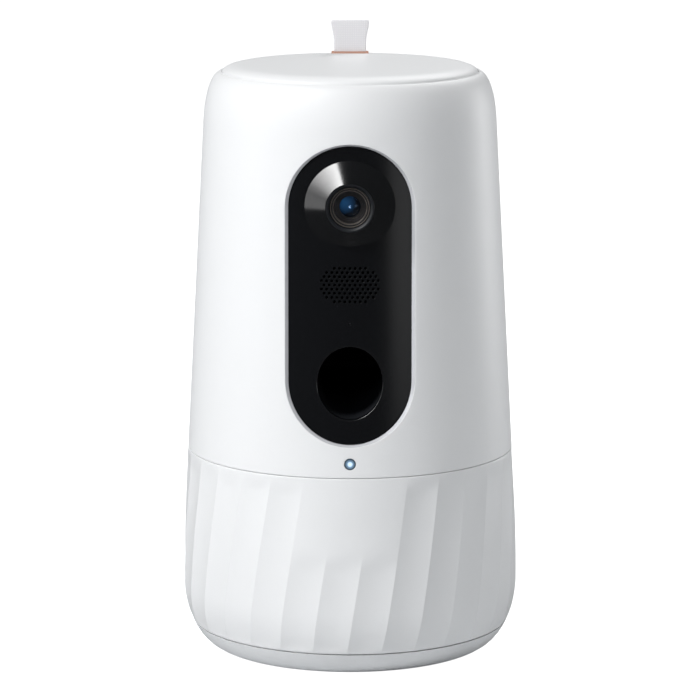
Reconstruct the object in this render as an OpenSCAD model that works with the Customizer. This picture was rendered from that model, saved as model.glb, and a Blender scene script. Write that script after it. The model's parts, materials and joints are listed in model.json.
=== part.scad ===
// Treat tossing pet camera: a tapered round housing that pans on a low base.
// A hopper under the lift-off lid feeds a dosing wheel, which drops treats one
// at a time into a throwing rotor. The black front panel carries the camera,
// the speaker grille, the microphone hole and the treat outlet.
// Millimetres, +Z up, the front faces -Y. The origin is the centre of the
// footprint on the resting surface.

/* [Housing outline] */
// Largest radius of the housing, at its belly
belly_r = 73.1; // [71:0.1:76]
// Height of the belly above the resting surface
belly_z = 28.9; // [27:0.1:32]
// Radius that the outline reaches at the resting surface
foot_r = 57.2; // [56:0.1:60]
// Squareness of the curve under the belly
belly_power = 1.95; // [1.85:0.05:2.2]
// Height at which the swelling side becomes a straight cone
cone_z = 61; // [55:1:75]
// Radius at the foot of the shoulder
shoulder_r = 63.2; // [62.5:0.1:65]
// Height of the foot of the shoulder
shoulder_z = 230; // [227:0.5:236]
// Height of the shoulder curve
shoulder_h = 21.3; // [20:0.1:24]
// How far the shoulder draws in
shoulder_in = 7.5; // [6:0.1:8]
// Squareness of the shoulder curve
shoulder_power = 2.3; // [2:0.05:2.5]

/* [Walls and clearances] */
// Wall of the moulded housing
wall = 2.4; // [2:0.1:2.8]
// Height of the seams between housing pieces
seam_gap = 0.45; // [0.3:0.05:0.7]
// Clearance between pieces that fit into each other
fit_gap = 0.25; // [0.15:0.05:0.35]
// Clearance between pieces that move past each other
move_gap = 0.3; // [0.2:0.05:0.5]
// Radial clearance of shafts in their bearings
run_gap = 0.06; // [0.03:0.01:0.09]

/* [Base] */
// Height of the seam between the base and the turning housing
pan_seam_z = 10.55; // [9.8:0.05:12]
// Height of the underside of the base
underside_z = 0.6; // [0.4:0.1:1]
// Thickness of the base floor
base_floor = 2.2; // [1.8:0.1:2.6]
// Radius of a rubber foot
foot_pad_r = 6; // [4:0.1:7]
// Distance of the feet from the centre
foot_ring_r = 49; // [42:0.5:50]
// Depth of the pocket that holds a foot
foot_pocket = 1; // [0.5:0.1:1.2]
// Radius of the hub that the housing turns on
hub_r = 12; // [11:0.1:13]
// Wall of the hub
hub_wall = 4; // [3.5:0.1:5]
// Height of the bush above the turntable
hub_rise = 5; // [4:0.1:8]
// Thickness of the low-friction slide ring
slide_t = 1.4; // [1:0.1:2]
// Height of the power inlet
inlet_z = 5.8; // [5.6:0.1:6.2]
// Bore of the power inlet
inlet_bore_r = 2.8; // [2.6:0.05:3]

/* [Turning gears] */
// Module of the pan gears
pan_module = 1.5; // [1.5:0.5:1.5]
// Teeth of the pan ring gear
pan_ring_teeth = 56; // [56:2:56]
// Teeth of the pan pinion
pan_pinion_teeth = 14; // [12:2:14]
// Width of the pan gears
pan_gear_t = 6; // [5:0.1:6]
// Module of the dosing and throwing gears
small_module = 1; // [1:0.1:1]
// Teeth of the dosing wheel
dosing_teeth = 56; // [56:2:58]
// Teeth of the throwing gear
throw_teeth = 40; // [38:2:42]
// Teeth of the two small pinions
pinion_teeth = 12; // [12:2:12]
// Width of the small gears
small_gear_t = 4; // [3:0.1:5]
// Pressure angle of all gears
pressure_angle = 25; // [25:1:26]
// Play between meshing teeth, along the pitch circle
backlash = 0.3; // [0.2:0.05:0.4]

/* [Fluted skirt] */
// Height of the seam between the skirt and the upper housing
mid_seam_z = 87.4; // [82:0.1:90]
// Number of flutes around the skirt
flutes = 30; // [24:1:36]
// Depth of a flute below its two edges
flute_depth = 0.8; // [0.4:0.05:1.2]
// How far a flute leans over 100 mm of height, in degrees
flute_lean = 12.2; // [6:0.1:18]
// Turn of the whole pattern, in degrees
flute_turn = -1.05; // [-6:0.05:6]
// Flutes that fade out under the plain patch at the front
plain_flutes = 3; // [1:1:5]
// Height of the lower edge of the plain patch
plain_z = 52; // [40:1:70]

/* [Front panel] */
// Half width of the front panel
panel_hw = 25.4; // [24.5:0.1:27]
// Lower end of the front panel
panel_low_z = 102; // [99:0.5:103]
// Upper end of the front panel
panel_high_z = 226.5; // [225:0.5:229]
// How far the panel lies behind the housing surface
panel_inset = 1.5; // [1:0.1:1.8]
// Thickness of the panel
panel_t = 2; // [1.6:0.1:2.4]
// Width of the bevel around the panel
bevel_w = 1.7; // [1:0.1:2.2]
// Width of the lip behind the panel
seat_w = 2; // [1.5:0.1:2.5]

/* [Camera] */
// Height of the lens axis
lens_z = 201.5; // [200:0.1:203]
// Radius of the cone around the lens
bezel_r = 18.9; // [17.5:0.1:20]
// Radius of the cone's front edge
bezel_front_r = 10.2; // [9.6:0.1:11]
// How far the cone stands out of the panel
bezel_proud = 6; // [4:0.1:8]
// Radius of the cone where it leaves the panel at its top and bottom
bezel_root_r = 17.8; // [16.5:0.1:18.5]
// Radius of the lens barrel
barrel_r = 8.3; // [7.8:0.1:8.6]
// Length of the lens barrel
barrel_l = 19; // [17:0.5:21]
// Radius of the front glass
glass_r = 6.8; // [6:0.1:7]
// Side of the square camera board
camera_board_w = 24; // [20:0.5:28]

/* [Sound] */
// Height of the middle row of the speaker grille
grille_z = 168.6; // [168:0.1:169.5]
// Distance between grille holes in a row
grille_pitch = 2.16; // [2:0.02:2.2]
// Distance between rows of grille holes
grille_row = 1.74; // [1.6:0.02:1.8]
// Radius of a grille hole
grille_hole_r = 0.6; // [0.4:0.02:0.7]
// Radius of the speaker
speaker_r = 12.4; // [11.5:0.1:12.6]
// Depth of the speaker
speaker_d = 9; // [8:0.1:11]
// Height of the microphone hole
mic_z = 152.4; // [151.5:0.1:152.6]
// Radius of the microphone hole
mic_hole_r = 0.45; // [0.3:0.05:0.6]
// Radius of the microphone capsule
mic_r = 1.7; // [1.5:0.1:1.8]

/* [Treat outlet] */
// Width of the outlet
outlet_w = 27.2; // [25:0.1:27.6]
// Height of the outlet
outlet_h = 30.6; // [28:0.1:31]
// Height of the middle of the outlet
outlet_z = 127.2; // [126:0.1:128]
// Wall of the launch housing
duct_wall = 2; // [1.6:0.1:2.2]

/* [Throwing rotor] */
// Radius of the rotor over its paddles
rotor_r = 24; // [22:0.1:24.5]
// Distance of the rotor axis behind the centre
rotor_y = 13; // [12:0.1:14]
// Inner half width of the launch housing
duct_hw = 14.2; // [14:0.1:14.6]
// Number of paddles
paddles = 3; // [2:1:4]
// Thickness of a paddle
paddle_t = 2.4; // [1.8:0.1:3]
// Radius of the rotor hub
rotor_hub_r = 6.5; // [6:0.1:8]
// Radius of the rotor shaft
shaft_r = 3; // [2.5:0.1:3.2]

/* [Dosing wheel] */
// Distance of the wheel axis behind the centre
wheel_y = 12; // [11:0.1:13]
// Height of the dosing wheel
wheel_h = 11; // [10:0.1:13]
// Radius of a treat pocket
pocket_r = 9; // [8:0.1:9.2]
// Distance of the pockets from the wheel axis
pocket_ring_r = 16.8; // [16.6:0.1:17]
// Number of treat pockets
pockets = 4; // [3:1:4]
// Radius of the pin that the wheel turns on
wheel_pin_r = 3; // [2.5:0.1:3.5]
// Thickness of the dosing floor
dosing_floor_t = 2.4; // [2:0.1:3]

/* [Hopper] */
// Inner radius of the hopper
hopper_r = 42; // [40:0.1:43]
// Distance of the hopper axis behind the centre
hopper_y = 5; // [4.5:0.1:6]
// Wall of the hopper
hopper_wall = 1.8; // [1.4:0.1:2.2]
// Radius of the throat under the funnel
throat_r = 14; // [12:0.1:14]
// Height of the funnel
funnel_h = 28; // [24:0.5:36]

/* [Lid] */
// Height of the lid's edge
lid_edge_h = 2.4; // [2:0.1:3]
// Height of the lid's crown above its edge
lid_crown = 3.1; // [2.5:0.1:4]
// How far the rounded edge reaches in
lid_round = 8; // [6:0.1:12]
// Depth of the plug that enters the hopper
plug_h = 7.5; // [6:0.1:10]
// Height of the pull tab above the lid
tab_h = 14; // [10:0.5:18]
// Width of the pull tab at its root
tab_root_w = 14.4; // [12:0.1:16]
// Width of the pull tab at its top
tab_top_w = 17; // [14:0.1:20]
// Thickness of the pull tab
tab_t = 1.6; // [1.2:0.1:2.4]
// Distance of the pull tab behind the centre
tab_y = 44.6; // [42:0.1:46]

/* [Drives and boards] */
// Radius of a gear motor
motor_r = 11; // [10:0.1:11.5]
// Length of a gear motor
motor_l = 28; // [24:0.5:30]
// Radius of a motor's output shaft
motor_shaft_r = 1.5; // [1.2:0.1:2]
// Thickness of a circuit board
board_t = 1.6; // [1.2:0.1:2]
// Width of the main board
main_board_w = 76; // [70:0.5:80]
// Height of the main board
main_board_h = 54; // [48:0.5:58]

/* [Light and button] */
// Height of the status light above the skirt seam
light_rise = 6; // [5:0.1:8]
// Radius of the status light ring
light_r = 2.45; // [2:0.05:3]
// Radius of the bright middle of the status light
light_core_r = 1.1; // [0.8:0.05:1.4]
// Height of the setup button above the skirt seam
button_rise = 11; // [10:0.1:14]
// Radius of the setup button
button_r = 3.2; // [2.5:0.1:4]
// Travel of the setup button
button_travel = 0.6; // [0.4:0.05:0.8]

/* [Hidden] */
$fn = 96;
white = "#eeeff0";
soft_white = "#dfe1e3";
black = "#1d2023";
inner_grey = "#5b6066";
steel = "#a9adb1";
brass = "#b99a55";
board_green = "#2f6b4a";
acetal = "#e9e6da";

far = 200;                       // reach of cutting solids
chain = 0.02;                    // hair's breadth between pieces of one body
top_z = shoulder_z + shoulder_h; // rim of the upper housing
side_slope = (belly_r - shoulder_r) / ((cone_z - belly_z) / 2 + shoulder_z - cone_z);
curve_steps = 12;                 // points along a curved stretch of the outline

// Radius of the housing's outline at height z
function line_r(z) = belly_r - side_slope * ((cone_z - belly_z) / 2 + z - cone_z);
function round_off(q, power) = pow(max(0, 1 - pow(q, power)), 1 / power);
function side_r(z) =
    z < belly_z ? foot_r + (belly_r - foot_r) * round_off((belly_z - z) / belly_z, belly_power)
    : z < cone_z ? belly_r - side_slope * pow(z - belly_z, 2) / (2 * (cone_z - belly_z))
    : z < shoulder_z ? line_r(z)
    : line_r(z) - shoulder_in * (1 - round_off((z - shoulder_z) / (shoulder_h + 0.15), shoulder_power));

// Heights at which the outline is sampled: arcs closely, straight parts by their ends
outline_z = concat(
    [for (i = [1:curve_steps - 1]) belly_z * (1 - pow(cos(90 * i / curve_steps), 2 / belly_power))],
    [for (i = [0:4]) belly_z + (cone_z - belly_z) * i / 4],
    [for (i = [0:curve_steps - 1]) shoulder_z + shoulder_h * pow(sin(90 * i / curve_steps), 2 / shoulder_power)]);
function heights(low, high) =
    concat([low], [for (z = outline_z) if (z > low + 0.05 && z < high - 0.05) z], [high]);
function side_points(depth, low, high) = [for (z = heights(low, high)) [side_r(z) - depth, z]];
function reversed(list) = [for (i = [len(list) - 1:-1:0]) list[i]];
function smooth(t) = let (c = min(1, max(0, t))) c * c * (3 - 2 * c);

// Outline of a spur gear with involute teeth; a tooth points along +X
function involute(a) = tan(a) * 180 / PI - a;
function tooth_half(r, pitch_r, teeth, play) =
    let (base_r = pitch_r * cos(pressure_angle))
    90 / teeth - play / 2 / pitch_r * 180 / PI + involute(pressure_angle)
        - involute(acos(min(1, base_r / max(r, base_r))));
function gear_points(teeth, gear_module, tip, root, play) =
    let (pitch_r = teeth * gear_module / 2, steps = 4,
         flank = [for (i = [0:steps]) pitch_r - root + (tip + root) * i / steps])
    [for (tooth = [0:teeth - 1], side = [-1, 1], i = [0:steps])
        let (r = side < 0 ? flank[i] : flank[steps - i],
             a = 360 * tooth / teeth + side * tooth_half(r, pitch_r, teeth, play))
        [r * cos(a), r * sin(a)]];
tooth_tip = 0.8;                 // height of a tooth over the pitch circle, in modules
tooth_root = 1.1;                // depth of a tooth under the pitch circle, in modules
module gear_2d(teeth, gear_module) {
    polygon(gear_points(teeth, gear_module, tooth_tip * gear_module, tooth_root * gear_module, backlash));
}

// Solids in the outline of the housing
module outline_solid(depth, low, high) {
    rotate_extrude() polygon(concat([[0, low]], side_points(depth, low, high), [[0, high]]));
}
module outline_shell(outer_depth, inner_depth, low, high) {
    rotate_extrude()
        polygon(concat(side_points(outer_depth, low, high), reversed(side_points(inner_depth, low, high))));
}

// Placing: children drawn in X and Y, extruded towards the front or to the right
module facing_front(y, z) { translate([0, y, z]) rotate([90, 0, 0]) children(); }
module facing_right(x, y, z) { translate([x, y, z]) rotate([0, 90, 0]) children(); }
module ring(outer_r, inner_r, h) {
    difference() {
        cylinder(r = outer_r, h = h);
        translate([0, 0, -1]) cylinder(r = inner_r, h = h + 2);
    }
}
module screw(shank_r, head_r, head_h, length) {
    translate([0, 0, -length]) cylinder(r = shank_r, h = length, $fn = 24);
    difference() {
        cylinder(r = head_r, h = head_h, $fn = 32);
        for (turn = [0, 90]) rotate(turn)
            translate([-head_r * 0.6, -0.25, head_h / 2]) cube([head_r * 1.2, 0.5, head_h]);
    }
}

// Base
floor_z = underside_z + base_floor;
pan_ring_r = pan_ring_teeth * pan_module / 2;
pan_pinion_r = pan_pinion_teeth * pan_module / 2;
pan_centre_d = pan_ring_r - pan_pinion_r;
ring_rim_r = pan_ring_r + tooth_root * pan_module + 4.4;
table_z = pan_seam_z + seam_gap / 2;               // underside of the turntable
slide_top_z = table_z - move_gap / 3;
gear_top_z = slide_top_z - slide_t;
table_t = 2.5;
table_top_z = table_z + table_t;
bush_top_z = table_top_z + hub_rise;
hub_top_z = bush_top_z + 1.2 + move_gap;
ear_r = 3.6;
ear_ring_r = ring_rim_r + 2.2;
ear_t = 3;
screw_r = 1.1;
screw_head_r = 2.2;
screw_head_h = 1.4;
inlet_y = side_r(inlet_z);
inlet_l = 13;
inlet_w = 8.6;
inlet_half_h = 3.4;
inlet_face_in = 1.4;                               // depth of the recess around the inlet

module base_shell() {
    color(white) difference() {
        rotate_extrude() polygon(concat(
            [[0, underside_z]],
            side_points(0, underside_z, pan_seam_z - seam_gap / 2),
            reversed(side_points(wall, floor_z, pan_seam_z - seam_gap / 2)),
            [[hub_r, floor_z], [hub_r, hub_top_z], [hub_r - hub_wall, hub_top_z],
             [hub_r - hub_wall, floor_z], [0, floor_z]]));
        for (turn = [45:90:315]) rotate(turn) {
            translate([foot_ring_r, 0, underside_z - 1])
                cylinder(r = foot_pad_r + chain, h = foot_pocket + 1);
            translate([ear_ring_r, 0, floor_z - 0.8]) cylinder(r = screw_r + chain, h = 2, $fn = 24);
        }
        // slot for the power lead through the hub, and pilot holes for its screws
        translate([-3, 0, floor_z]) cube([6, hub_r + 1, 4]);
        for (turn = [30:120:270]) rotate(turn)
            translate([hub_r - hub_wall / 2, 0, hub_top_z - 5]) cylinder(r = 0.9 + chain, h = 6, $fn = 24);
        // opening for the power inlet, with a shallow round recess on the outside
        translate([-inlet_w / 2 - chain, inlet_y - inlet_l, inlet_z - inlet_half_h + 0.4])
            cube([inlet_w + 2 * chain, inlet_l - inlet_face_in, 2 * inlet_half_h]);
        translate([0, inlet_y - inlet_face_in, inlet_z]) rotate([-90, 0, 0])
            cylinder(r = inlet_bore_r + 1, h = 10, $fn = 48);
    }
}
module rubber_feet() {
    color(inner_grey) for (turn = [45:90:315]) rotate(turn) translate([foot_ring_r, 0, 0])
        rotate_extrude() polygon([[0, 0], [foot_pad_r - 0.5, 0], [foot_pad_r, 0.4],
                                  [foot_pad_r, underside_z + foot_pocket - chain],
                                  [0, underside_z + foot_pocket - chain]]);
}
module ring_gear() {
    color(acetal) difference() {
        union() {
            translate([0, 0, floor_z]) cylinder(r = ring_rim_r, h = gear_top_z - floor_z);
            for (turn = [45:90:315]) rotate(turn) translate([ear_ring_r, 0, floor_z])
                cylinder(r = ear_r, h = ear_t, $fn = 48);
        }
        // the spaces between inner teeth are the teeth of a gear of the same size
        translate([0, 0, floor_z - 1]) rotate(-90) linear_extrude(gear_top_z)
            polygon(gear_points(pan_ring_teeth, pan_module, tooth_root * pan_module,
                                tooth_tip * pan_module, -backlash));
        for (turn = [45:90:315]) rotate(turn) translate([ear_ring_r, 0, 0])
            cylinder(r = screw_r + chain, h = 20, $fn = 24);
        // the screw heads clear the rim
        for (turn = [45:90:315]) rotate(turn) translate([ear_ring_r, 0, floor_z + ear_t])
            cylinder(r = screw_head_r + fit_gap, h = 20, $fn = 48);
    }
}
module ring_gear_screws() {
    color(steel) for (turn = [45:90:315]) rotate(turn) translate([ear_ring_r, 0, floor_z + ear_t])
        screw(screw_r, screw_head_r, screw_head_h, ear_t + 0.7);
}
module slide_ring() {
    color(acetal) translate([0, 0, gear_top_z])
        ring(ear_ring_r - screw_head_r - fit_gap - 0.3, pan_ring_r + tooth_root * pan_module, slide_t);
}
module power_inlet() {
    color(black) difference() {
        translate([-inlet_w / 2, inlet_y - inlet_l, floor_z])
            cube([inlet_w, inlet_l - inlet_face_in - chain, inlet_z + inlet_half_h - floor_z]);
        translate([0, inlet_y - inlet_l + 2, inlet_z]) rotate([-90, 0, 0])
            cylinder(r = inlet_bore_r, h = inlet_l, $fn = 48);
    }
    color(steel) translate([0, inlet_y - inlet_l + 2 - chain, inlet_z]) rotate([-90, 0, 0])
        cylinder(r = 1, h = inlet_l - inlet_face_in - 3, $fn = 24);
}
module hub_retainer() {
    color(steel) difference() {
        translate([0, 0, hub_top_z]) ring(hub_r + 4, hub_r - hub_wall + 0.4, 1.6);
        for (turn = [30:120:270]) rotate(turn)
            translate([hub_r - hub_wall / 2, 0, 0]) cylinder(r = 0.9 + chain, h = far, $fn = 24);
    }
}
module hub_screws() {
    color(steel) for (turn = [30:120:270]) rotate(turn)
        translate([hub_r - hub_wall / 2, 0, hub_top_z + 1.6]) screw(0.9, 1.7, 1.2, 6);
}

// Turntable, the floor of the turning housing
skirt_low_z = pan_seam_z + seam_gap / 2;
skirt_high_z = mid_seam_z - seam_gap / 2;
table_r = side_r(skirt_low_z) - wall - fit_gap;
ledge_z = table_top_z + 0.1;
ledge_h = 3;
ledge_w = 5;
table_screw_r = table_r - 2.8;
bush_r = hub_r + 2;
post_r = 4;
post_x = 42;
post_y = 30;
deck_t = 2.4;
deck_z = mid_seam_z - seam_gap / 2 - 1.2;          // underside of the mid deck
deck_top_z = deck_z + deck_t;
motor_boss_r = 4;
main_board_y = 26;
main_board_z = table_top_z + 5;
slot_gap = 0.15;

module turntable() {
    color(inner_grey) difference() {
        union() {
            translate([0, 0, table_z]) cylinder(r = table_r, h = table_t);
            translate([0, 0, table_z]) cylinder(r = bush_r + 3, h = bush_top_z - table_z - 1);
            for (x = [-post_x, post_x], y = [-post_y, post_y])
                translate([x, y, table_top_z - 1]) cylinder(r = post_r, h = deck_z - table_top_z + 1, $fn = 48);
            for (x = [-1, 1]) translate([x * (main_board_w / 2 - 4) - 3, main_board_y - 3, table_top_z - 1])
                cube([6, board_t + 6, 12]);
        }
        translate([0, 0, table_z - 1]) cylinder(r = bush_r + chain, h = far);
        translate([0, -pan_centre_d, table_z - 1]) cylinder(r = motor_boss_r + 2, h = 10);
        translate([-far / 2, main_board_y - slot_gap, main_board_z - slot_gap])
            cube([far, board_t + 2 * slot_gap, far]);
        for (turn = [45:90:315]) rotate(turn) translate([table_screw_r, 0, 0]) {
            cylinder(r = screw_r + chain, h = 30, $fn = 24);
            cylinder(r = screw_head_r + chain, h = table_z + screw_head_h, $fn = 48);
        }
        for (x = [-post_x, post_x], y = [-post_y, post_y])
            translate([x, y, deck_z - 8]) cylinder(r = screw_r + chain, h = 10, $fn = 24);
    }
}
module turntable_bush() {
    color(brass) {
        translate([0, 0, table_z]) ring(bush_r, hub_r + run_gap, bush_top_z - table_z - 1 + chain);
        translate([0, 0, bush_top_z - 1 + chain]) ring(bush_r + 2, hub_r + run_gap, 1.1);
    }
}
module turntable_screws() {
    color(steel) for (turn = [45:90:315]) rotate(turn)
        translate([table_screw_r, 0, table_z + screw_head_h]) mirror([0, 0, 1])
            screw(screw_r, screw_head_r, screw_head_h - 0.2, table_t - screw_head_h + 2.6);
}

// A small gear motor: gearbox, can and end cap, standing on its shaft end at the origin
module gear_motor(socket_r) {
    gearbox_l = motor_l * 0.38;
    difference() {
        union() {
            color(inner_grey) cylinder(r = motor_r, h = gearbox_l);
            color(steel) translate([0, 0, gearbox_l]) cylinder(r = motor_r - 1, h = motor_l - gearbox_l - 2);
            color(black) translate([0, 0, motor_l - 2]) cylinder(r = motor_r - 2, h = 2);
            for (x = [-3, 3]) color(brass) translate([x - 0.8, -0.3, motor_l]) cube([1.6, 0.6, 3]);
        }
        translate([0, 0, -1]) cylinder(r = socket_r + run_gap, h = 6, $fn = 32);
    }
}
module pan_motor() { translate([0, -pan_centre_d, table_top_z]) gear_motor(motor_shaft_r); }
module pan_pinion() {
    color(brass) translate([0, -pan_centre_d, 0]) {
        translate([0, 0, floor_z + 0.8]) rotate(-90) linear_extrude(pan_gear_t - 0.8)
            gear_2d(pan_pinion_teeth, pan_module);
        translate([0, 0, floor_z + 0.8]) cylinder(r = motor_shaft_r, h = table_top_z + 4 - floor_z - 0.8);
        translate([0, 0, floor_z + pan_gear_t - chain]) cylinder(r = motor_boss_r, h = 1.4);
    }
}
module main_board() {
    color(board_green) translate([-main_board_w / 2, main_board_y, main_board_z])
        cube([main_board_w, board_t, main_board_h]);
}
module board_parts() {
    front_y = main_board_y - chain;
    // processor, memory, radio can, power coils, capacitors and connectors
    color(black) translate([-9, front_y - 1.4, main_board_z + 26]) cube([14, 1.4, 14]);
    color(black) translate([-28, front_y - 1.2, main_board_z + 30]) cube([11, 1.2, 8]);
    color(steel) translate([14, front_y - 2.2, main_board_z + 32]) cube([18, 2.2, 14]);
    color(inner_grey) for (x = [12, 22]) translate([x, front_y - 4.2, main_board_z + 14]) cube([7, 4.2, 7]);
    color(black) for (x = [-24, -15, -6]) translate([x, front_y, main_board_z + 17])
        rotate([90, 0, 0]) cylinder(r = 3.1, h = 9, $fn = 48);
    color(soft_white) for (x = [-25, -11, 3, 17]) translate([x, front_y - 5.5, main_board_z + main_board_h - 8])
        cube([9, 5.5, 6]);
}

// Skirt: a thin wall whose outside carries leaning concave flutes with sharp edges
flute_steps = 6;
skirt_bands = 15;
skirt_sag = 0.06;                // the skirt's flat facets lie this far inside its round wall
fade_top = 9;
fade_low = 6;
first_plain = -floor(plain_flutes / 2) - 1;
function flute_shape(j) = let (u = (j % flute_steps) / flute_steps) 4 * u * (1 - u);
function flute_fade(j, z) =
    let (k = floor(j / flute_steps), near = k < flutes / 2 ? k : k - flutes,
         plain = near >= first_plain && near < first_plain + plain_flutes)
    smooth((skirt_high_z - z) / fade_top) * smooth((z - skirt_low_z + 2) / fade_low)
        * (plain ? 1 - smooth((z - plain_z + 6) / 10) : 1);
function flute_angle(j, z) = 360 * j / (flutes * flute_steps) + flute_turn + flute_lean * (z - skirt_low_z) / 100;
function skirt_point(j, r, z) = let (a = flute_angle(j, z)) [r * sin(a), -r * cos(a), z];
function skirt_r(j, z) = side_r(z) - flute_depth * flute_shape(j) * flute_fade(j, z);

module skirt() {
    around = flutes * flute_steps;
    outer_z = [for (i = [0:skirt_bands]) skirt_low_z + (skirt_high_z - skirt_low_z) * i / skirt_bands];
    inner_z = [skirt_high_z, cone_z, (belly_z + cone_z) / 2, belly_z, ledge_z + ledge_h, ledge_z, skirt_low_z];
    // rings run up the fluted outside, then down the smooth inside, and close on themselves
    points = concat([for (z = outer_z, j = [0:around - 1]) skirt_point(j, skirt_r(j, z), z)],
                    [for (z = inner_z, j = [0:around - 1]) skirt_point(j, side_r(z) - wall, z)]);
    rings = len(outer_z) + len(inner_z);
    color(white) polyhedron(points, [for (i = [0:rings - 1], j = [0:around - 1])
        let (up = (i + 1) % rings, next = (j + 1) % around)
        each [[i * around + j, up * around + j, i * around + next],
              [i * around + next, up * around + j, up * around + next]]]);
}
// Ring inside the skirt that the turntable is screwed to
module skirt_ring() {
    color(white) difference() {
        rotate_extrude() polygon([
            [table_r - ledge_w, ledge_z], [side_r(ledge_z) - wall - skirt_sag, ledge_z],
            [side_r(ledge_z + ledge_h) - wall - skirt_sag, ledge_z + ledge_h],
            [table_r - ledge_w, ledge_z + ledge_h]]);
        for (turn = [45:90:315]) rotate(turn) translate([table_screw_r, 0, ledge_z - 1])
            cylinder(r = screw_r + chain, h = ledge_h + 0.8, $fn = 24);
    }
}

// Deck across the seam of skirt and upper housing
lip_r = side_r(mid_seam_z) - wall - fit_gap;
lip_w = 1.7;
lip_h = 4.6;
deck_r = lip_r - lip_w - fit_gap;
module mid_deck() {
    color(inner_grey) difference() {
        translate([0, 0, deck_z]) cylinder(r = deck_r, h = deck_t);
        translate([0, 0, deck_z - 1]) cylinder(r = 9, h = deck_t + 2);
        for (x = [-post_x, post_x], y = [-post_y, post_y])
            translate([x, y, deck_z - 1]) cylinder(r = screw_r + chain, h = 10, $fn = 24);
    }
}
module deck_screws() {
    color(steel) for (x = [-post_x, post_x], y = [-post_y, post_y])
        translate([x, y, deck_top_z]) screw(screw_r, screw_head_r, screw_head_h, deck_t + 6);
}

// Upper housing with the opening for the front panel and its frame
recess_r = side_r(top_z) - 0.45;                    // wall of the recess that holds the lid
rim_z = top_z - lid_edge_h - 0.5;                   // top of the hopper flange
flange_t = 2.4;
rim_ledge_z = rim_z - flange_t;
rim_room = 2;                                       // room between the hopper and the rim's ledge
rim_ledge_r = hopper_y + hopper_r + hopper_wall + rim_room;
panel_arc_low = panel_low_z + panel_hw;
panel_arc_high = panel_high_z - panel_hw;
seat_play = 0.05;                                   // the panel lies this far off its seat
seat_depth = panel_inset + panel_t + seat_play;
arc_steps = 36;
frame_step = 0.1;                                   // the frame's inner edge stands this much over the panel
light_z = mid_seam_z + light_rise;
light_y = side_r(light_z);
button_z = mid_seam_z + button_rise;
button_y = side_r(button_z);

module stadium(half_width) {
    for (z = [panel_arc_low, panel_arc_high]) facing_front(-30, z) cylinder(r = half_width, h = far);
    translate([-half_width, -30 - far, panel_arc_low])
        cube([2 * half_width, far, panel_arc_high - panel_arc_low]);
}
// One closed loop round the panel, half_width wide, pressed to a depth below the outline
function loop_at(half_width, depth) =
    [for (end = [0, 1], i = [0:arc_steps])
        let (a = 180 * end + 180 * i / arc_steps,
             x = half_width * cos(a),
             z = (end == 0 ? panel_arc_high : panel_arc_low) + half_width * sin(a))
        [x, -sqrt(pow(side_r(z) - depth, 2) - x * x), z]];
frame_hw = panel_hw + fit_gap + bevel_w;            // outer edge of the frame around the panel
// Bevelled frame around the panel: a quadrilateral carried round the loop
module panel_frame() {
    outer = frame_hw - chain;
    inner = panel_hw + fit_gap;
    loops = [loop_at(outer, 0), loop_at(inner, panel_inset - frame_step),
             loop_at(inner, seat_depth - chain), loop_at(outer, seat_depth - chain)];
    count = 2 * (arc_steps + 1);
    color(white) polyhedron([for (loop = loops) each loop], [for (i = [0:3], j = [0:count - 1])
        let (a = i * count, b = (i + 1) % 4 * count, next = (j + 1) % count)
        each [[a + j, b + j, a + next], [b + j, b + next, a + next]]]);
}
module upper_housing() {
    low = mid_seam_z + seam_gap / 2;
    inner_low = low + 5;
    color(white) difference() {
        union() {
            rotate_extrude() polygon(concat(
                side_points(0, low, top_z),
                [[recess_r, top_z], [recess_r, rim_ledge_z], [rim_ledge_r, rim_ledge_z],
                 [rim_ledge_r, rim_ledge_z - 2]],
                reversed(side_points(wall, inner_low, rim_ledge_z - 9)),
                [[lip_r - lip_w, low + 2.6], [lip_r - lip_w, low - lip_h], [lip_r, low - lip_h], [lip_r, low]]));
            intersection() {
                outline_shell(wall - 0.2, seat_depth + 1.8, panel_low_z - 3.5, panel_high_z + 3.5);
                stadium(frame_hw + 1.4);
            }
        }
        intersection() {
            outline_shell(-1, seat_depth, panel_low_z - 3, panel_high_z + 3);
            stadium(frame_hw);
        }
        stadium(panel_hw - seat_w);
        facing_front(-light_y + 8, light_z) cylinder(r = light_r + chain, h = 20);
        translate([0, button_y - 8, button_z]) rotate([-90, 0, 0]) cylinder(r = button_r + move_gap, h = 20);
    }
}

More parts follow.
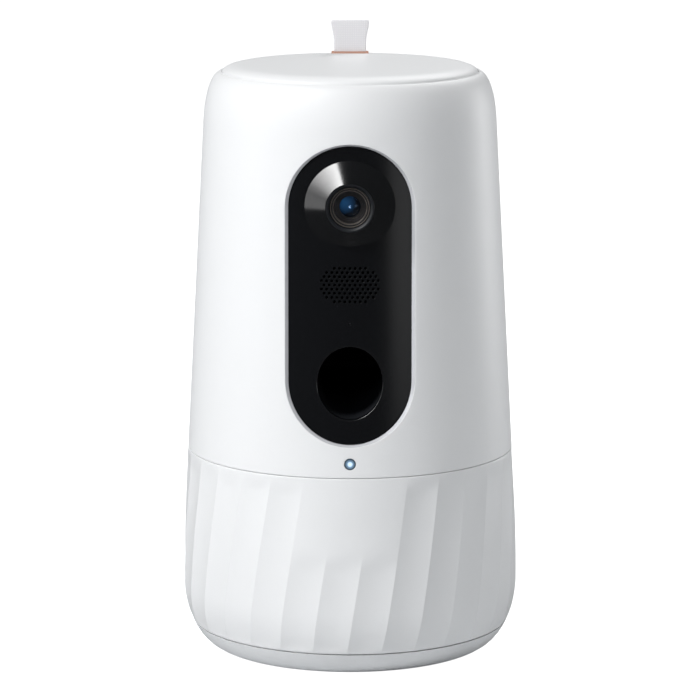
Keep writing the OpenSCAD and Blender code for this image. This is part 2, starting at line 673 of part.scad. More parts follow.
// Front panel: a black shell in the curve of the housing
panel_face_y = side_r(lens_z) - panel_inset;        // at the lens, on the middle line
bezel_back_r = 13.4;
bezel_bore_r = barrel_r + fit_gap;
collar_r = speaker_r + fit_gap;
collar_w = 1.3;
speaker_back_y = side_r(grille_z) - seat_depth;
cut_y = belly_r / 2;                                // cuts through the front wall start this far forward
grille_rows = [7, 10, 11, 12, 11, 12, 11, 10, 7];
module outlet_oval(extra) {
    polygon([for (i = [0:71]) [(outlet_w / 2 + extra) * cos(5 * i), (outlet_h / 2 + extra) * sin(5 * i)]]);
}
module front_panel() {
    middle = (len(grille_rows) - 1) / 2;
    color(black) difference() {
        union() {
            intersection() {
                outline_shell(panel_inset, seat_depth - seat_play, panel_low_z - 1, panel_high_z + 1);
                stadium(panel_hw);
            }
            // collar that holds the speaker
            intersection() {
                facing_front(-speaker_back_y + 8, grille_z) ring(collar_r + collar_w, collar_r, 20);
                outline_solid(panel_inset + panel_t / 2, grille_z - 30, grille_z + 30);
            }
        }
        facing_front(-cut_y, lens_z) cylinder(r = bezel_back_r + chain, h = far);
        facing_front(-cut_y, outlet_z) linear_extrude(far) outlet_oval(0);
        facing_front(-cut_y, mic_z) cylinder(r = mic_hole_r, h = far, $fn = 16);
        for (row = [0:len(grille_rows) - 1], i = [0:grille_rows[row] - 1])
            translate([(i - (grille_rows[row] - 1) / 2) * grille_pitch, -cut_y, grille_z + (middle - row) * grille_row])
                rotate([90, 0, 0]) cylinder(r = grille_hole_r, h = far, $fn = 16);
    }
}
bezel_front_y = panel_face_y + bezel_proud;
bezel_slope = (bezel_root_r - bezel_front_r) / bezel_proud;
module lens_bezel() {
    behind = (bezel_r - bezel_root_r) / bezel_slope;
    color(black) difference() {
        // the cone, ended by a short straight skirt where the panel curves away
        facing_front(0, lens_z) rotate_extrude() polygon([
            [bezel_bore_r, panel_face_y - 8], [bezel_back_r, panel_face_y - 8],
            [bezel_back_r, panel_face_y - 5], [bezel_r, panel_face_y - 5],
            [bezel_r, panel_face_y - behind], [bezel_front_r, bezel_front_y],
            [bezel_front_r - 0.6, bezel_front_y], [bezel_bore_r, bezel_front_y - 0.9]]);
        difference() {
            outline_solid(panel_inset - chain, lens_z - 30, min(lens_z + 30, top_z));
            facing_front(0, lens_z) cylinder(r = bezel_back_r, h = far);
        }
    }
}
barrel_front_y = bezel_front_y - 1.6;
module lens_barrel() {
    color(black) facing_front(0, lens_z) rotate_extrude() polygon([
        [0, barrel_front_y - barrel_l], [barrel_r, barrel_front_y - barrel_l],
        [barrel_r, barrel_front_y - 0.3], [barrel_r - 0.3, barrel_front_y],
        [glass_r + 0.5, barrel_front_y], [glass_r + chain, barrel_front_y - 0.5],
        [glass_r + chain, barrel_front_y - 2.2],
        [glass_r - 0.9, barrel_front_y - 2.2], [glass_r - 2.4, barrel_front_y - 5], [0, barrel_front_y - 5]]);
}
module lens_glass() {
    dome = 1.1;
    ball_r = (glass_r * glass_r + dome * dome) / (2 * dome);
    color([0.1, 0.15, 0.3, 0.5]) facing_front(0, lens_z) rotate_extrude() polygon(concat(
        [[0, barrel_front_y - 2.2 + chain], [glass_r, barrel_front_y - 2.2 + chain]],
        [for (i = [0:8]) let (r = glass_r * (8 - i) / 8)
            [r, barrel_front_y - 0.6 - ball_r * (1 - cos(asin(r / ball_r)))]]));
}
module camera_board() {
    back_y = barrel_front_y - barrel_l - chain;
    color(board_green) translate([-camera_board_w / 2, -back_y, lens_z - camera_board_w / 2])
        cube([camera_board_w, board_t, camera_board_w]);
    color(black) translate([-6, -back_y + board_t - chain, lens_z - 6]) cube([12, 1.6, 12]);
}
module speaker() {
    front = speaker_back_y - 2.2;
    facing_front(0, grille_z) {
        color(inner_grey) translate([0, 0, front - 1.6]) ring(speaker_r, speaker_r - 2, 1.6);
        color(black) rotate_extrude() polygon([
            [0, front - 3], [speaker_r - 2, front - 0.4], [speaker_r - 2 + chain, front - 1.6],
            [speaker_r - 3.4, front - 4.6], [0, front - 4.6]]);
        color(steel) translate([0, 0, front - speaker_d]) cylinder(r = speaker_r - 4, h = speaker_d - 4.6 + chain);
    }
}
module microphone() {
    face = side_r(mic_z) - seat_depth - 0.15;
    color(steel) facing_front(-face + 2.4, mic_z) cylinder(r = mic_r, h = 2.4, $fn = 48);
}
module status_ring() {
    color("#27486b") facing_front(-light_y + 5, light_z) difference() {
        cylinder(r = light_r, h = 5 - 0.05);
        translate([0, 0, -1]) cylinder(r = light_core_r + chain, h = 9, $fn = 48);
    }
}
module status_light_pipe() {
    color("#d5ecff") facing_front(-light_y + 5.6, light_z) {
        cylinder(r = light_core_r, h = 5.6 - 0.1, $fn = 48);
        cylinder(r = light_r, h = 0.6 - chain, $fn = 48);
    }
}
module standing_board(w, h, y) {
    translate([-w / 2, y, deck_top_z]) cube([w, board_t, h]);
}
module status_board() {
    face_y = -light_y + 6.4;
    color(board_green) standing_board(14, light_z - deck_top_z + 5, face_y + 0.9);
    color(soft_white) translate([-1.4, face_y, light_z - 1.2]) cube([2.8, 0.9 + chain, 2.4]);
}
button_proud = 0.3;
button_flange_y = button_y - wall - 1.6;
module setup_button() {
    color(soft_white) translate([0, 0, button_z]) rotate([-90, 0, 0]) {
        translate([0, 0, button_flange_y]) cylinder(r = button_r, h = button_y + button_proud - button_flange_y);
        translate([0, 0, button_flange_y]) cylinder(r = button_r + 1, h = 1);
    }
}
module button_board() {
    switch_y = button_flange_y - button_travel - 0.1;
    color(board_green) standing_board(14, button_rise + 10, switch_y - 3.7 - board_t);
    color(black) translate([-3, switch_y - 3.7 - chain, button_z - 3]) cube([6, 3.2, 6]);
    color(inner_grey) translate([0, switch_y - 0.6, button_z]) rotate([-90, 0, 0])
        cylinder(r = 1.7, h = 0.6, $fn = 32);
}

// Launch housing: a round rotor chamber, the oval duct to the outlet, and the chute from the wheel
duct_gap = 0.3;                                     // the duct is this much larger than the outlet
chamber_r = rotor_r + 1;
chamber_drop = 0.5;                                 // step from the chamber up to the duct's floor
chamber_flat = 0.6;                                 // the round top is cut flat by this much
rotor_z = outlet_z - outlet_h / 2 - duct_gap - chamber_drop + chamber_r;
chamber_top_z = rotor_z + chamber_r + duct_wall - chamber_flat;
drop_y = wheel_y + pocket_ring_r;
drop_r = pocket_r + 0.8;
bearing_r = shaft_r + 2;
side_out = duct_hw + duct_wall;
launch_post_x = 8;
duct_post_y = -16;
chamber_post_y = rotor_y + 18;
// The chamber's outside, which the duct and the chute end at
module chamber_outside(extra) {
    facing_right(-side_out - extra, rotor_y, rotor_z)
        cylinder(r = chamber_r + duct_wall + extra, h = 2 * (side_out + extra));
}
module launch_posts(y) {
    for (x = [-launch_post_x, launch_post_x]) translate([x, y, deck_top_z])
        cylinder(r = 3.5, h = outlet_z - deck_top_z, $fn = 48);
}
module launch_housing() {
    color(black) difference() {
        union() {
            facing_right(-side_out, rotor_y, rotor_z) cylinder(r = chamber_r + duct_wall, h = side_out + duct_hw);
            launch_posts(chamber_post_y);
        }
        facing_right(-duct_hw, rotor_y, rotor_z) cylinder(r = chamber_r, h = far);
        facing_front(rotor_y - 2, outlet_z) linear_extrude(far) outlet_oval(duct_gap);
        translate([0, drop_y, rotor_z + 1]) cylinder(r = drop_r, h = far);
        facing_right(-far / 2, rotor_y, rotor_z) cylinder(r = bearing_r + chain, h = far / 2);
        // the flat top, and the right side that the cover closes
        translate([-far / 2, -far / 2, chamber_top_z]) cube(far);
        facing_right(duct_hw - chain, rotor_y, rotor_z) cylinder(r = chamber_r + duct_wall + chain, h = far);
    }
}
module outlet_duct() {
    color(black) difference() {
        intersection() {
            union() {
                facing_front(rotor_y - 2, outlet_z) linear_extrude(far) outlet_oval(duct_gap + duct_wall);
                launch_posts(duct_post_y);
            }
            outline_solid(seat_depth + 0.2, deck_top_z, outlet_z + outlet_h);
        }
        facing_front(rotor_y, outlet_z) linear_extrude(far) outlet_oval(duct_gap);
        chamber_outside(chain);
    }
}
module drop_chute() {
    color(black) difference() {
        translate([0, drop_y, rotor_z + 1])
            cylinder(r = drop_r + duct_wall, h = chamber_top_z - rotor_z - 1);
        translate([0, drop_y, rotor_z]) cylinder(r = drop_r, h = far);
        chamber_outside(chain);
    }
}
module launch_cover() {
    color(inner_grey) difference() {
        union() {
            intersection() {
                facing_right(duct_hw, rotor_y, rotor_z) cylinder(r = chamber_r + duct_wall, h = duct_wall);
                translate([0, -far / 2, chamber_top_z - far]) cube(far);
            }
            for (a = [45:90:315])
                facing_right(duct_hw, rotor_y + post_ring_r * cos(a), rotor_z + post_ring_r * sin(a))
                    cylinder(r = plate_post_r, h = plate_x - duct_hw, $fn = 48);
        }
        facing_right(0, rotor_y, rotor_z) cylinder(r = bearing_r + chain, h = far);
    }
}
gear_x = side_out + 1.3;
plate_x = gear_x + small_gear_t + 1;
plate_t = 2;
throw_r = throw_teeth * small_module / 2;
pinion_r = pinion_teeth * small_module / 2;
throw_centre_d = throw_r + pinion_r;
plate_post_r = 2.6;
post_ring_r = throw_r + tooth_tip * small_module + plate_post_r + 0.3;
module rotor_bushes() {
    color(brass) for (x = [-side_out, duct_hw]) facing_right(x, rotor_y, rotor_z)
        ring(bearing_r, shaft_r + run_gap, duct_wall);
}
module throw_rotor() {
    half_l = duct_hw - 0.8;
    color(black) facing_right(-half_l, rotor_y, rotor_z) difference() {
        union() {
            cylinder(r = rotor_hub_r, h = 2 * half_l);
            for (i = [0:paddles - 1]) rotate(60 + 360 * i / paddles)
                translate([0, -paddle_t / 2, 0]) cube([rotor_r, paddle_t, 2 * half_l]);
        }
        translate([0, 0, -1]) cylinder(r = shaft_r + chain, h = far);
    }
}
module throw_shaft() {
    color(steel) facing_right(-side_out - 1.5, rotor_y, rotor_z)
        cylinder(r = shaft_r, h = side_out + 1.5 + plate_x + plate_t);
}
module throw_gear() {
    color(acetal) facing_right(gear_x, rotor_y, rotor_z) difference() {
        linear_extrude(small_gear_t) gear_2d(throw_teeth, small_module);
        translate([0, 0, -1]) cylinder(r = shaft_r + chain, h = far);
        for (a = [30:60:330]) rotate(a) translate([throw_r * 0.58, 0, -1]) cylinder(r = 3.4, h = far, $fn = 32);
    }
}
module throw_pinion() {
    color(brass) facing_right(gear_x, rotor_y, rotor_z - throw_centre_d) {
        rotate(180 + 180 / pinion_teeth) linear_extrude(small_gear_t) gear_2d(pinion_teeth, small_module);
        cylinder(r = motor_shaft_r, h = plate_x + plate_t + 4 - gear_x, $fn = 48);
    }
}
module gear_plate() {
    color(inner_grey) difference() {
        hull() {
            facing_right(plate_x, rotor_y, rotor_z) cylinder(r = post_ring_r + plate_post_r, h = plate_t, $fn = 64);
            facing_right(plate_x, rotor_y, rotor_z - throw_centre_d) cylinder(r = motor_r + 1, h = plate_t, $fn = 64);
        }
        facing_right(0, rotor_y, rotor_z) cylinder(r = shaft_r + run_gap, h = far);
        facing_right(0, rotor_y, rotor_z - throw_centre_d) cylinder(r = 4, h = far);
    }
}
module throw_motor() {
    facing_right(plate_x + plate_t, rotor_y, rotor_z - throw_centre_d) gear_motor(motor_shaft_r);
}

// Dosing: floor with a drop hole, wheel with treat pockets, cup with the throat
dosing_floor_z = chamber_top_z;
wheel_z = dosing_floor_z + dosing_floor_t + 0.4;
wheel_r = dosing_teeth * small_module / 2;
wheel_tip_r = wheel_r + tooth_tip * small_module;
wheel_body_r = wheel_r - tooth_root * small_module;
gear_seat_r = pocket_ring_r + pocket_r + 0.4;       // seat of the toothed ring, just outside the pockets
dosing_centre_d = wheel_r + pinion_r;
cup_in_r = wheel_tip_r + 0.8;
cup_wall = 2.2;
cup_roof_z = wheel_z + wheel_h + 0.4;
cup_roof_t = 2;
cup_top_z = cup_roof_z + cup_roof_t;
pinion_room_r = pinion_r + tooth_tip * small_module + 1;
module dosing_floor() {
    color(inner_grey) difference() {
        union() {
            translate([0, wheel_y, dosing_floor_z]) cylinder(r = cup_in_r + cup_wall, h = dosing_floor_t);
            translate([-dosing_centre_d, wheel_y, dosing_floor_z]) cylinder(r = motor_r + 1, h = dosing_floor_t);
            translate([0, wheel_y, dosing_floor_z]) cylinder(r = wheel_pin_r, h = cup_roof_z - dosing_floor_z - 0.3);
        }
        translate([0, drop_y, dosing_floor_z - 1]) cylinder(r = drop_r, h = 10);
        translate([-dosing_centre_d, wheel_y, dosing_floor_z - 1]) cylinder(r = 4, h = 10);
    }
}
module dosing_cup() {
    color(inner_grey) difference() {
        translate([0, wheel_y, dosing_floor_z + dosing_floor_t])
            cylinder(r = cup_in_r + cup_wall, h = cup_top_z - dosing_floor_z - dosing_floor_t);
        translate([0, wheel_y, 0]) cylinder(r = cup_in_r, h = cup_roof_z);
        translate([0, hopper_y, 0]) cylinder(r = throat_r, h = far * 2);
        translate([-dosing_centre_d, wheel_y, 0]) cylinder(r = pinion_room_r, h = wheel_z + small_gear_t + 0.8);
    }
}
module dosing_wheel() {
    color("#d98b3a") difference() {
        union() {
            translate([0, wheel_y, wheel_z]) cylinder(r = gear_seat_r, h = wheel_h);
            translate([0, wheel_y, wheel_z + small_gear_t + chain])
                cylinder(r = wheel_body_r, h = wheel_h - small_gear_t - chain);
        }
        translate([0, wheel_y, 0]) cylinder(r = wheel_pin_r + run_gap, h = far * 2);
        for (i = [0:pockets - 1]) translate([0, wheel_y, wheel_z - 1]) rotate(90 + 360 * i / pockets)
            translate([pocket_ring_r, 0, 0]) cylinder(r = pocket_r, h = wheel_h + 2);
    }
}
// Toothed ring pressed on the wheel's lower half
module dosing_gear() {
    color(acetal) translate([0, wheel_y, wheel_z]) difference() {
        rotate(180) linear_extrude(small_gear_t) gear_2d(dosing_teeth, small_module);
        translate([0, 0, -1]) cylinder(r = gear_seat_r + chain, h = small_gear_t + 2);
    }
}
module dosing_pinion() {
    color(brass) translate([-dosing_centre_d, wheel_y, 0]) {
        translate([0, 0, wheel_z]) rotate(180 / pinion_teeth) linear_extrude(small_gear_t)
            gear_2d(pinion_teeth, small_module);
        translate([0, 0, dosing_floor_z - 4]) cylinder(r = motor_shaft_r, h = wheel_z - dosing_floor_z + 5, $fn = 48);
    }
}
module dosing_motor() {
    translate([-dosing_centre_d, wheel_y, dosing_floor_z]) mirror([0, 0, 1]) gear_motor(motor_shaft_r);
}

// Hopper: funnel, bucket and the flange that hangs in the housing's rim
module hopper() {
    funnel_top_z = cup_top_z + funnel_h;
    color(soft_white) {
        translate([0, hopper_y, 0]) rotate_extrude() polygon([
            [throat_r, cup_top_z], [throat_r + 4, cup_top_z], [throat_r + 4, cup_top_z + 1.5],
            [hopper_r + hopper_wall - 2, funnel_top_z], [hopper_r + hopper_wall, funnel_top_z + 6],
            [hopper_r + hopper_wall, rim_z - 1], [hopper_r, rim_z - 1], [hopper_r, rim_z - 14],
            [hopper_r - 2, funnel_top_z], [throat_r, cup_top_z + 2]]);
        difference() {
            translate([0, 0, rim_ledge_z]) cylinder(r = recess_r - fit_gap, h = flange_t);
            translate([0, hopper_y, 0]) cylinder(r = hopper_r, h = 2 * far);
        }
    }
}

// Lid: crowned cap, plug with its gasket, and the pull tab
lid_r = recess_r - move_gap;
lid_low_z = rim_z + 0.2;
lid_edge_z = lid_low_z + lid_edge_h;
lid_top_z = lid_edge_z + lid_crown;
lid_dome = 0.4;
lid_t = 2.4;
crown_steps = 8;
function crown(depth) = [for (i = [0:crown_steps]) let (a = 90 * i / crown_steps)
    [lid_r - depth - lid_round * (1 - cos(a)), lid_edge_z - depth + lid_crown * sin(a)]];
plug_r = hopper_r - 0.8;
plug_wall = 2.2;
plate_r = hopper_r + 2.4;
plate_h = 1.4;
boss_r = lid_r - lid_t - lid_round - hopper_y - 0.5;  // ring that meets the cap
groove_z = lid_low_z - plug_h + 2.4;
groove_h = 2.2;
groove_depth = 1;
module lid_cap() {
    color(white) difference() {
        rotate_extrude() polygon(concat(
            [[lid_r - lid_t, lid_low_z], [lid_r - 0.5, lid_low_z], [lid_r, lid_low_z + 0.5]],
            crown(0), [[0, lid_top_z + lid_dome], [0, lid_top_z - lid_t]],
            reversed(crown(lid_t))));
        // slot that the pull tab passes through
        translate([-tab_root_w / 2 - chain, tab_y - tab_t / 2 - chain, lid_top_z - 1.6])
            cube([tab_root_w + 2 * chain, tab_t + 2 * chain, 10]);
    }
}
module lid_plug() {
    color(soft_white) translate([0, hopper_y, 0]) rotate_extrude() polygon([
        [0, lid_low_z + 0.2], [plug_r - plug_wall, lid_low_z + 0.2], [plug_r - plug_wall, lid_low_z - plug_h],
        [plug_r, lid_low_z - plug_h], [plug_r, groove_z], [plug_r - groove_depth, groove_z],
        [plug_r - groove_depth, groove_z + groove_h], [plug_r, groove_z + groove_h],
        [plug_r, lid_low_z + 0.2], [plate_r, lid_low_z + 0.2], [plate_r, lid_low_z + 0.2 + plate_h],
        [boss_r, lid_low_z + 0.2 + plate_h], [boss_r, lid_top_z - lid_t - chain],
        [boss_r - 3, lid_top_z - lid_t - chain], [boss_r - 3, lid_low_z + 0.2 + plate_h],
        [0, lid_low_z + 0.2 + plate_h]]);
}
module lid_gasket() {
    inner = plug_r - groove_depth + chain;
    color(acetal) translate([0, hopper_y, 0]) rotate_extrude() polygon([
        [inner, groove_z + chain], [plug_r, groove_z + chain], [hopper_r - move_gap, groove_z + groove_h / 2],
        [plug_r, groove_z + groove_h - chain], [inner, groove_z + groove_h - chain]]);
}
module pull_tab() {
    low_z = lid_top_z - 1.6 + chain;
    color("#e6e3de") translate([0, tab_y + tab_t / 2, 0]) rotate([90, 0, 0]) linear_extrude(tab_t)
        polygon([[-tab_root_w / 2, low_z], [tab_root_w / 2, low_z], [tab_root_w / 2, lid_top_z + tab_h * 0.45],
                 [tab_top_w / 2, lid_top_z + tab_h * 0.9], [tab_top_w / 2 - 0.8, lid_top_z + tab_h],
                 [-tab_top_w / 2 + 0.8, lid_top_z + tab_h], [-tab_top_w / 2, lid_top_z + tab_h * 0.9],
                 [-tab_root_w / 2, lid_top_z + tab_h * 0.45]]);
}
module tab_root() {
    w = tab_root_w + 2;
    d = tab_t + 1.6;
    color("#b06a4f") difference() {
        translate([-w / 2, tab_y - d / 2, lid_top_z + 0.05]) cube([w, d, 0.9]);
        translate([-tab_root_w / 2 - chain, tab_y - tab_t / 2 - chain, lid_top_z - 1])
            cube([tab_root_w + 2 * chain, tab_t + 2 * chain, 5]);
    }
}

base_shell();
rubber_feet();
ring_gear();
ring_gear_screws();
slide_ring();
power_inlet();
hub_retainer();
hub_screws();
turntable();
turntable_bush();
turntable_screws();
pan_motor();
main_board();
board_parts();
skirt();
skirt_ring();
mid_deck();
deck_screws();
upper_housing();
panel_frame();
front_panel();
lens_bezel();
lens_barrel();
lens_glass();
camera_board();
speaker();
microphone();
status_ring();
status_light_pipe();
status_board();
button_board();
launch_housing();
outlet_duct();
drop_chute();
launch_cover();
rotor_bushes();
gear_plate();
throw_motor();
dosing_floor();
dosing_cup();
dosing_motor();
hopper();
throw_rotor();
throw_shaft();
throw_gear();
throw_pinion();
dosing_wheel();
dosing_gear();
dosing_pinion();
pan_pinion();
setup_button();
lid_cap();
lid_plug();
lid_gasket();
pull_tab();
tab_root();
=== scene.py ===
"""Looks of a treat tossing pet camera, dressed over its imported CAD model.

Metres, +Z up, and the front faces -Y, as in the CAD model. The smooth outer shells are surfaces worked
out here; the parts inside keep their CAD solids and only get a material.
"""

import json
import logging
import math
from dataclasses import dataclass
from enum import Enum

import bmesh
import bpy
import numpy as np
from mathutils import Matrix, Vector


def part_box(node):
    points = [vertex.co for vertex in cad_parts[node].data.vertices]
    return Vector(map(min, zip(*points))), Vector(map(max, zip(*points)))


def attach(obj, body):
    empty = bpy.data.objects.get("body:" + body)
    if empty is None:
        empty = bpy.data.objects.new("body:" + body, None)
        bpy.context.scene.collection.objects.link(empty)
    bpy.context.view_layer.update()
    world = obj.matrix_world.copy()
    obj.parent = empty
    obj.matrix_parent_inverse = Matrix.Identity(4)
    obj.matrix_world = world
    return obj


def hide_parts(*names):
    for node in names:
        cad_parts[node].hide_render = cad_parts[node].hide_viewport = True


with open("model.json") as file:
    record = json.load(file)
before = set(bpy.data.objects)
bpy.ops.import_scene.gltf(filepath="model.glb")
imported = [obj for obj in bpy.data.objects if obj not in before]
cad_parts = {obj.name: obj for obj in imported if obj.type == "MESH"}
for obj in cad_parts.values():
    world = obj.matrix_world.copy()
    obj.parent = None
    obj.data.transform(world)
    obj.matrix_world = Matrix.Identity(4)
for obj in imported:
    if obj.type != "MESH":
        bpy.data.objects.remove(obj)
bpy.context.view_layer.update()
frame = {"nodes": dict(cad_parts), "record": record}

log = logging.getLogger("pet_camera")
MM = 0.001
WELD = 2e-6                     # points closer than this are one point
SHARP_DEGREES = 30              # CAD edges that turn by more than this stay sharp
WALL = 2.4 * MM                 # thickness of the moulded shells
LENS_Z = 201.5 * MM             # height of the lens axis
LIGHT_Z = 93.4 * MM             # height of the status light
SEAM = 0.22 * MM                # gap between the skirt and the upper housing
LENS_DROP = 1.6 * MM            # from the cone's front edge back to the barrel's front


# Shape: formulas and meshes

@dataclass(frozen=True)
class Outline:
    """Side of the housing: its radius as a function of height."""

    belly_r: float = 73.1 * MM
    belly_z: float = 28.9 * MM
    foot_r: float = 57.2 * MM
    belly_power: float = 1.95           # of the superellipse under the belly
    cone_z: float = 61 * MM             # where the straight line starts
    shoulder_r: float = 63.2 * MM
    shoulder_z: float = 230 * MM
    shoulder_h: float = 21.45 * MM
    shoulder_in: float = 7.5 * MM       # how far the shoulder turns in at its top
    shoulder_power: float = 2.3

    def radius(self, z: np.ndarray) -> np.ndarray:
        """Radius at each height.

        Under the belly it is a quarter of a superellipse, then a parabola that runs into a straight
        line, and over the shoulder the line less a quarter of another superellipse.

        Args:
            z: heights in metres.

        Returns:
            Radii in metres, in the shape of z.
        """
        z = np.asarray(z, float)
        curve_h = self.cone_z - self.belly_z
        slope = (self.belly_r - self.shoulder_r) / (curve_h / 2 + self.shoulder_z - self.cone_z)
        low = np.clip((self.belly_z - z) / self.belly_z, 0, 1)
        curve = (1 - low ** self.belly_power) ** (1 / self.belly_power)
        under = self.foot_r + (self.belly_r - self.foot_r) * curve
        swell = self.belly_r - slope * (z - self.belly_z) ** 2 / (2 * curve_h)
        line = self.belly_r - slope * (curve_h / 2 + z - self.cone_z)
        high = np.clip((z - self.shoulder_z) / self.shoulder_h, 0, 1)
        shoulder = self.shoulder_in * (1 - (1 - high ** self.shoulder_power) ** (1 / self.shoulder_power))
        return np.where(z < self.belly_z, under, np.where(z < self.cone_z, swell, line - shoulder))

    def around(self, azimuth: np.ndarray, z: np.ndarray, depth: np.ndarray | float = 0) -> np.ndarray:
        """Points on the side at an azimuth counted from the front, pressed in by a depth.

        Args:
            azimuth: angle from -Y towards +X, in radians.
            z: heights in metres.
            depth: distance inside the outline.

        Returns:
            Points (r sin a, -r cos a, z), with r the radius less the depth.
        """
        r = self.radius(z) - depth
        return np.stack(np.broadcast_arrays(r * np.sin(azimuth), -r * np.cos(azimuth), z), -1)

    def front(self, x: np.ndarray, z: np.ndarray, depth: np.ndarray | float = 0) -> np.ndarray:
        """Points on the front half, seen at x and z: y is minus the root of r squared less x squared.

        Args:
            x: distances to the right of the middle.
            z: heights in metres.
            depth: distance inside the outline.

        Returns:
            Points on the side at these places.
        """
        r = self.radius(z) - depth
        return np.stack(np.broadcast_arrays(x, -np.sqrt(r * r - x * x), z), -1)


OUTLINE = Outline()


def smooth(t: np.ndarray) -> np.ndarray:
    """Steps from 0 to 1 as t does, level at both ends: 3 t squared less 2 t cubed."""
    c = np.clip(t, 0, 1)
    return c * c * (3 - 2 * c)


def between(low: float, high: float, count: int) -> np.ndarray:
    """Returns count + 1 even steps from low to high."""
    return np.linspace(low, high, count + 1)


def joined(*stretches: np.ndarray) -> np.ndarray:
    """Returns the stretches end to end, each later one without its first value."""
    return np.concatenate([stretches[0], *[s[1:] for s in stretches[1:]]])


class Patchwork:
    """Patches of grid surface that are welded along their shared edges into one mesh."""

    def __init__(self) -> None:
        """Starts with no patches."""
        self.points: list[np.ndarray] = []
        self.faces: list[np.ndarray] = []
        self.count = 0

    def add(self, points: np.ndarray, round_rows: bool = False, round_cols: bool = False,
            keep: np.ndarray | None = None) -> None:
        """Adds the quads between the neighbours of one or several grids.

        Args:
            points: grid of shape (rows, columns, 3), or (patches, rows, columns, 3).
            round_rows: whether the last row joins the first.
            round_cols: whether the last column joins the first.
            keep: which quads to keep, in the shape of the quads of one grid.
        """
        grids = points.reshape((-1,) + points.shape[-3:])
        patches, rows, cols = grids.shape[:3]
        index = np.arange(rows * cols).reshape(rows, cols)
        if round_rows:
            index = np.concatenate([index, index[:1]])
        if round_cols:
            index = np.concatenate([index, index[:, :1]], 1)
        quads = np.stack([index[:-1, :-1], index[:-1, 1:], index[1:, 1:], index[1:, :-1]], -1)
        quads = quads.reshape(-1, 4) if keep is None else quads[keep]
        starts = self.count + np.arange(patches) * rows * cols
        self.points.append(grids.reshape(-1, 3))
        self.faces.append((starts[:, None, None] + quads).reshape(-1, 4))
        self.count += patches * rows * cols

    def mesh(self, name: str, crease: float) -> bpy.types.Mesh:
        """Welds the patches into a mesh with outward faces.

        Args:
            name: name of the mesh.
            crease: edges that turn by more than this many degrees stay sharp.

        Returns:
            The mesh.
        """
        mesh = bpy.data.meshes.new(name)
        points = np.concatenate(self.points)
        faces = np.concatenate(self.faces)
        mesh.vertices.add(len(points))
        mesh.vertices.foreach_set("co", points.astype(np.float32).ravel())
        mesh.loops.add(faces.size)
        mesh.loops.foreach_set("vertex_index", faces.astype(np.int32).ravel())
        mesh.polygons.add(len(faces))
        mesh.polygons.foreach_set("loop_start", np.arange(0, faces.size, 4, dtype=np.int32))
        mesh.update(calc_edges=True)
        work = bmesh.new()
        work.from_mesh(mesh)
        bmesh.ops.remove_doubles(work, verts=work.verts, dist=WELD)
        bmesh.ops.recalc_face_normals(work, faces=work.faces)
        work.to_mesh(mesh)
        work.free()
        mesh.shade_smooth()
        mesh.set_sharp_from_angle(angle=math.radians(crease))
        return mesh


def one_grid(points: np.ndarray, closed: bool = True) -> Patchwork:
    """Makes a patchwork of a single grid whose columns go round.

    Args:
        points: grid of shape (rows, columns, 3).
        closed: whether the last row joins the first.

    Returns:
        The patchwork.
    """
    cloth = Patchwork()
    cloth.add(points, round_rows=closed, round_cols=True)
    return cloth


def grid_between(outer: np.ndarray, inner: np.ndarray, steps: int) -> np.ndarray:
    """Loops that run from an outer loop to an inner one in straight lines.

    Args:
        outer: outer loop, of shape (..., points, 2).
        inner: inner loop, of the same shape.
        steps: number of steps from one to the other.

    Returns:
        Loops of shape (..., steps + 1, points, 2).
    """
    t = between(0, 1, steps)[:, None, None]
    return outer[..., None, :, :] * (1 - t) + inner[..., None, :, :] * t


def window_loop(columns: np.ndarray, rows: np.ndarray) -> np.ndarray:
    """Rim of a rectangle of grid lines: along the bottom, up the right, back along the top, down the left.

    Args:
        columns: places of the upright lines, from left to right.
        rows: places of the level lines, from the bottom up.

    Returns:
        Points of shape (2 (columns + rows - 2), 2).
    """
    bottom = np.stack(np.broadcast_arrays(columns[:-1], rows[0]), -1)
    right = np.stack(np.broadcast_arrays(columns[-1], rows[:-1]), -1)
    top = np.stack(np.broadcast_arrays(columns[:0:-1], rows[-1]), -1)
    left = np.stack(np.broadcast_arrays(columns[0], rows[:0:-1]), -1)
    return np.concatenate([bottom, right, top, left])


def circle_loop(radius: float, across: int, up: int, height: float | None = None) -> np.ndarray:
    """Circle or oval whose points answer those of window_loop, quarter for side.

    Args:
        radius: radius, or half of the width of an oval.
        across: steps along the rectangle's bottom and top.
        up: steps along its sides.
        height: half of the height of an oval.

    Returns:
        Points about the origin, of shape (2 (across + up), 2).
    """
    quarter = math.pi / 4
    angle = joined(between(-3 * quarter, -quarter, across), between(-quarter, quarter, up),
                   between(quarter, 3 * quarter, across), between(3 * quarter, 5 * quarter, up))[:-1]
    return np.stack([radius * np.cos(angle), (height or radius) * np.sin(angle)], -1)


def stadium_loop(half_width: float, low: float, high: float, arc_steps: int, side_steps: int) -> np.ndarray:
    """Long oval of two half circles and straight sides, in the order of window_loop.

    Args:
        half_width: radius of the ends.
        low: height of the lower end's centre.
        high: height of the upper end's centre.
        arc_steps: steps along each end.
        side_steps: steps along each side.

    Returns:
        Points x, z of shape (2 (arc_steps + side_steps), 2).
    """
    turn = between(0, math.pi, arc_steps)[:-1]
    side = between(low, high, side_steps)
    return np.concatenate([
        np.stack([-half_width * np.cos(turn), low - half_width * np.sin(turn)], -1),
        np.stack(np.broadcast_arrays(half_width, side[:-1]), -1),
        np.stack([half_width * np.cos(turn), high + half_width * np.sin(turn)], -1),
        np.stack(np.broadcast_arrays(-half_width, side[:0:-1]), -1)])


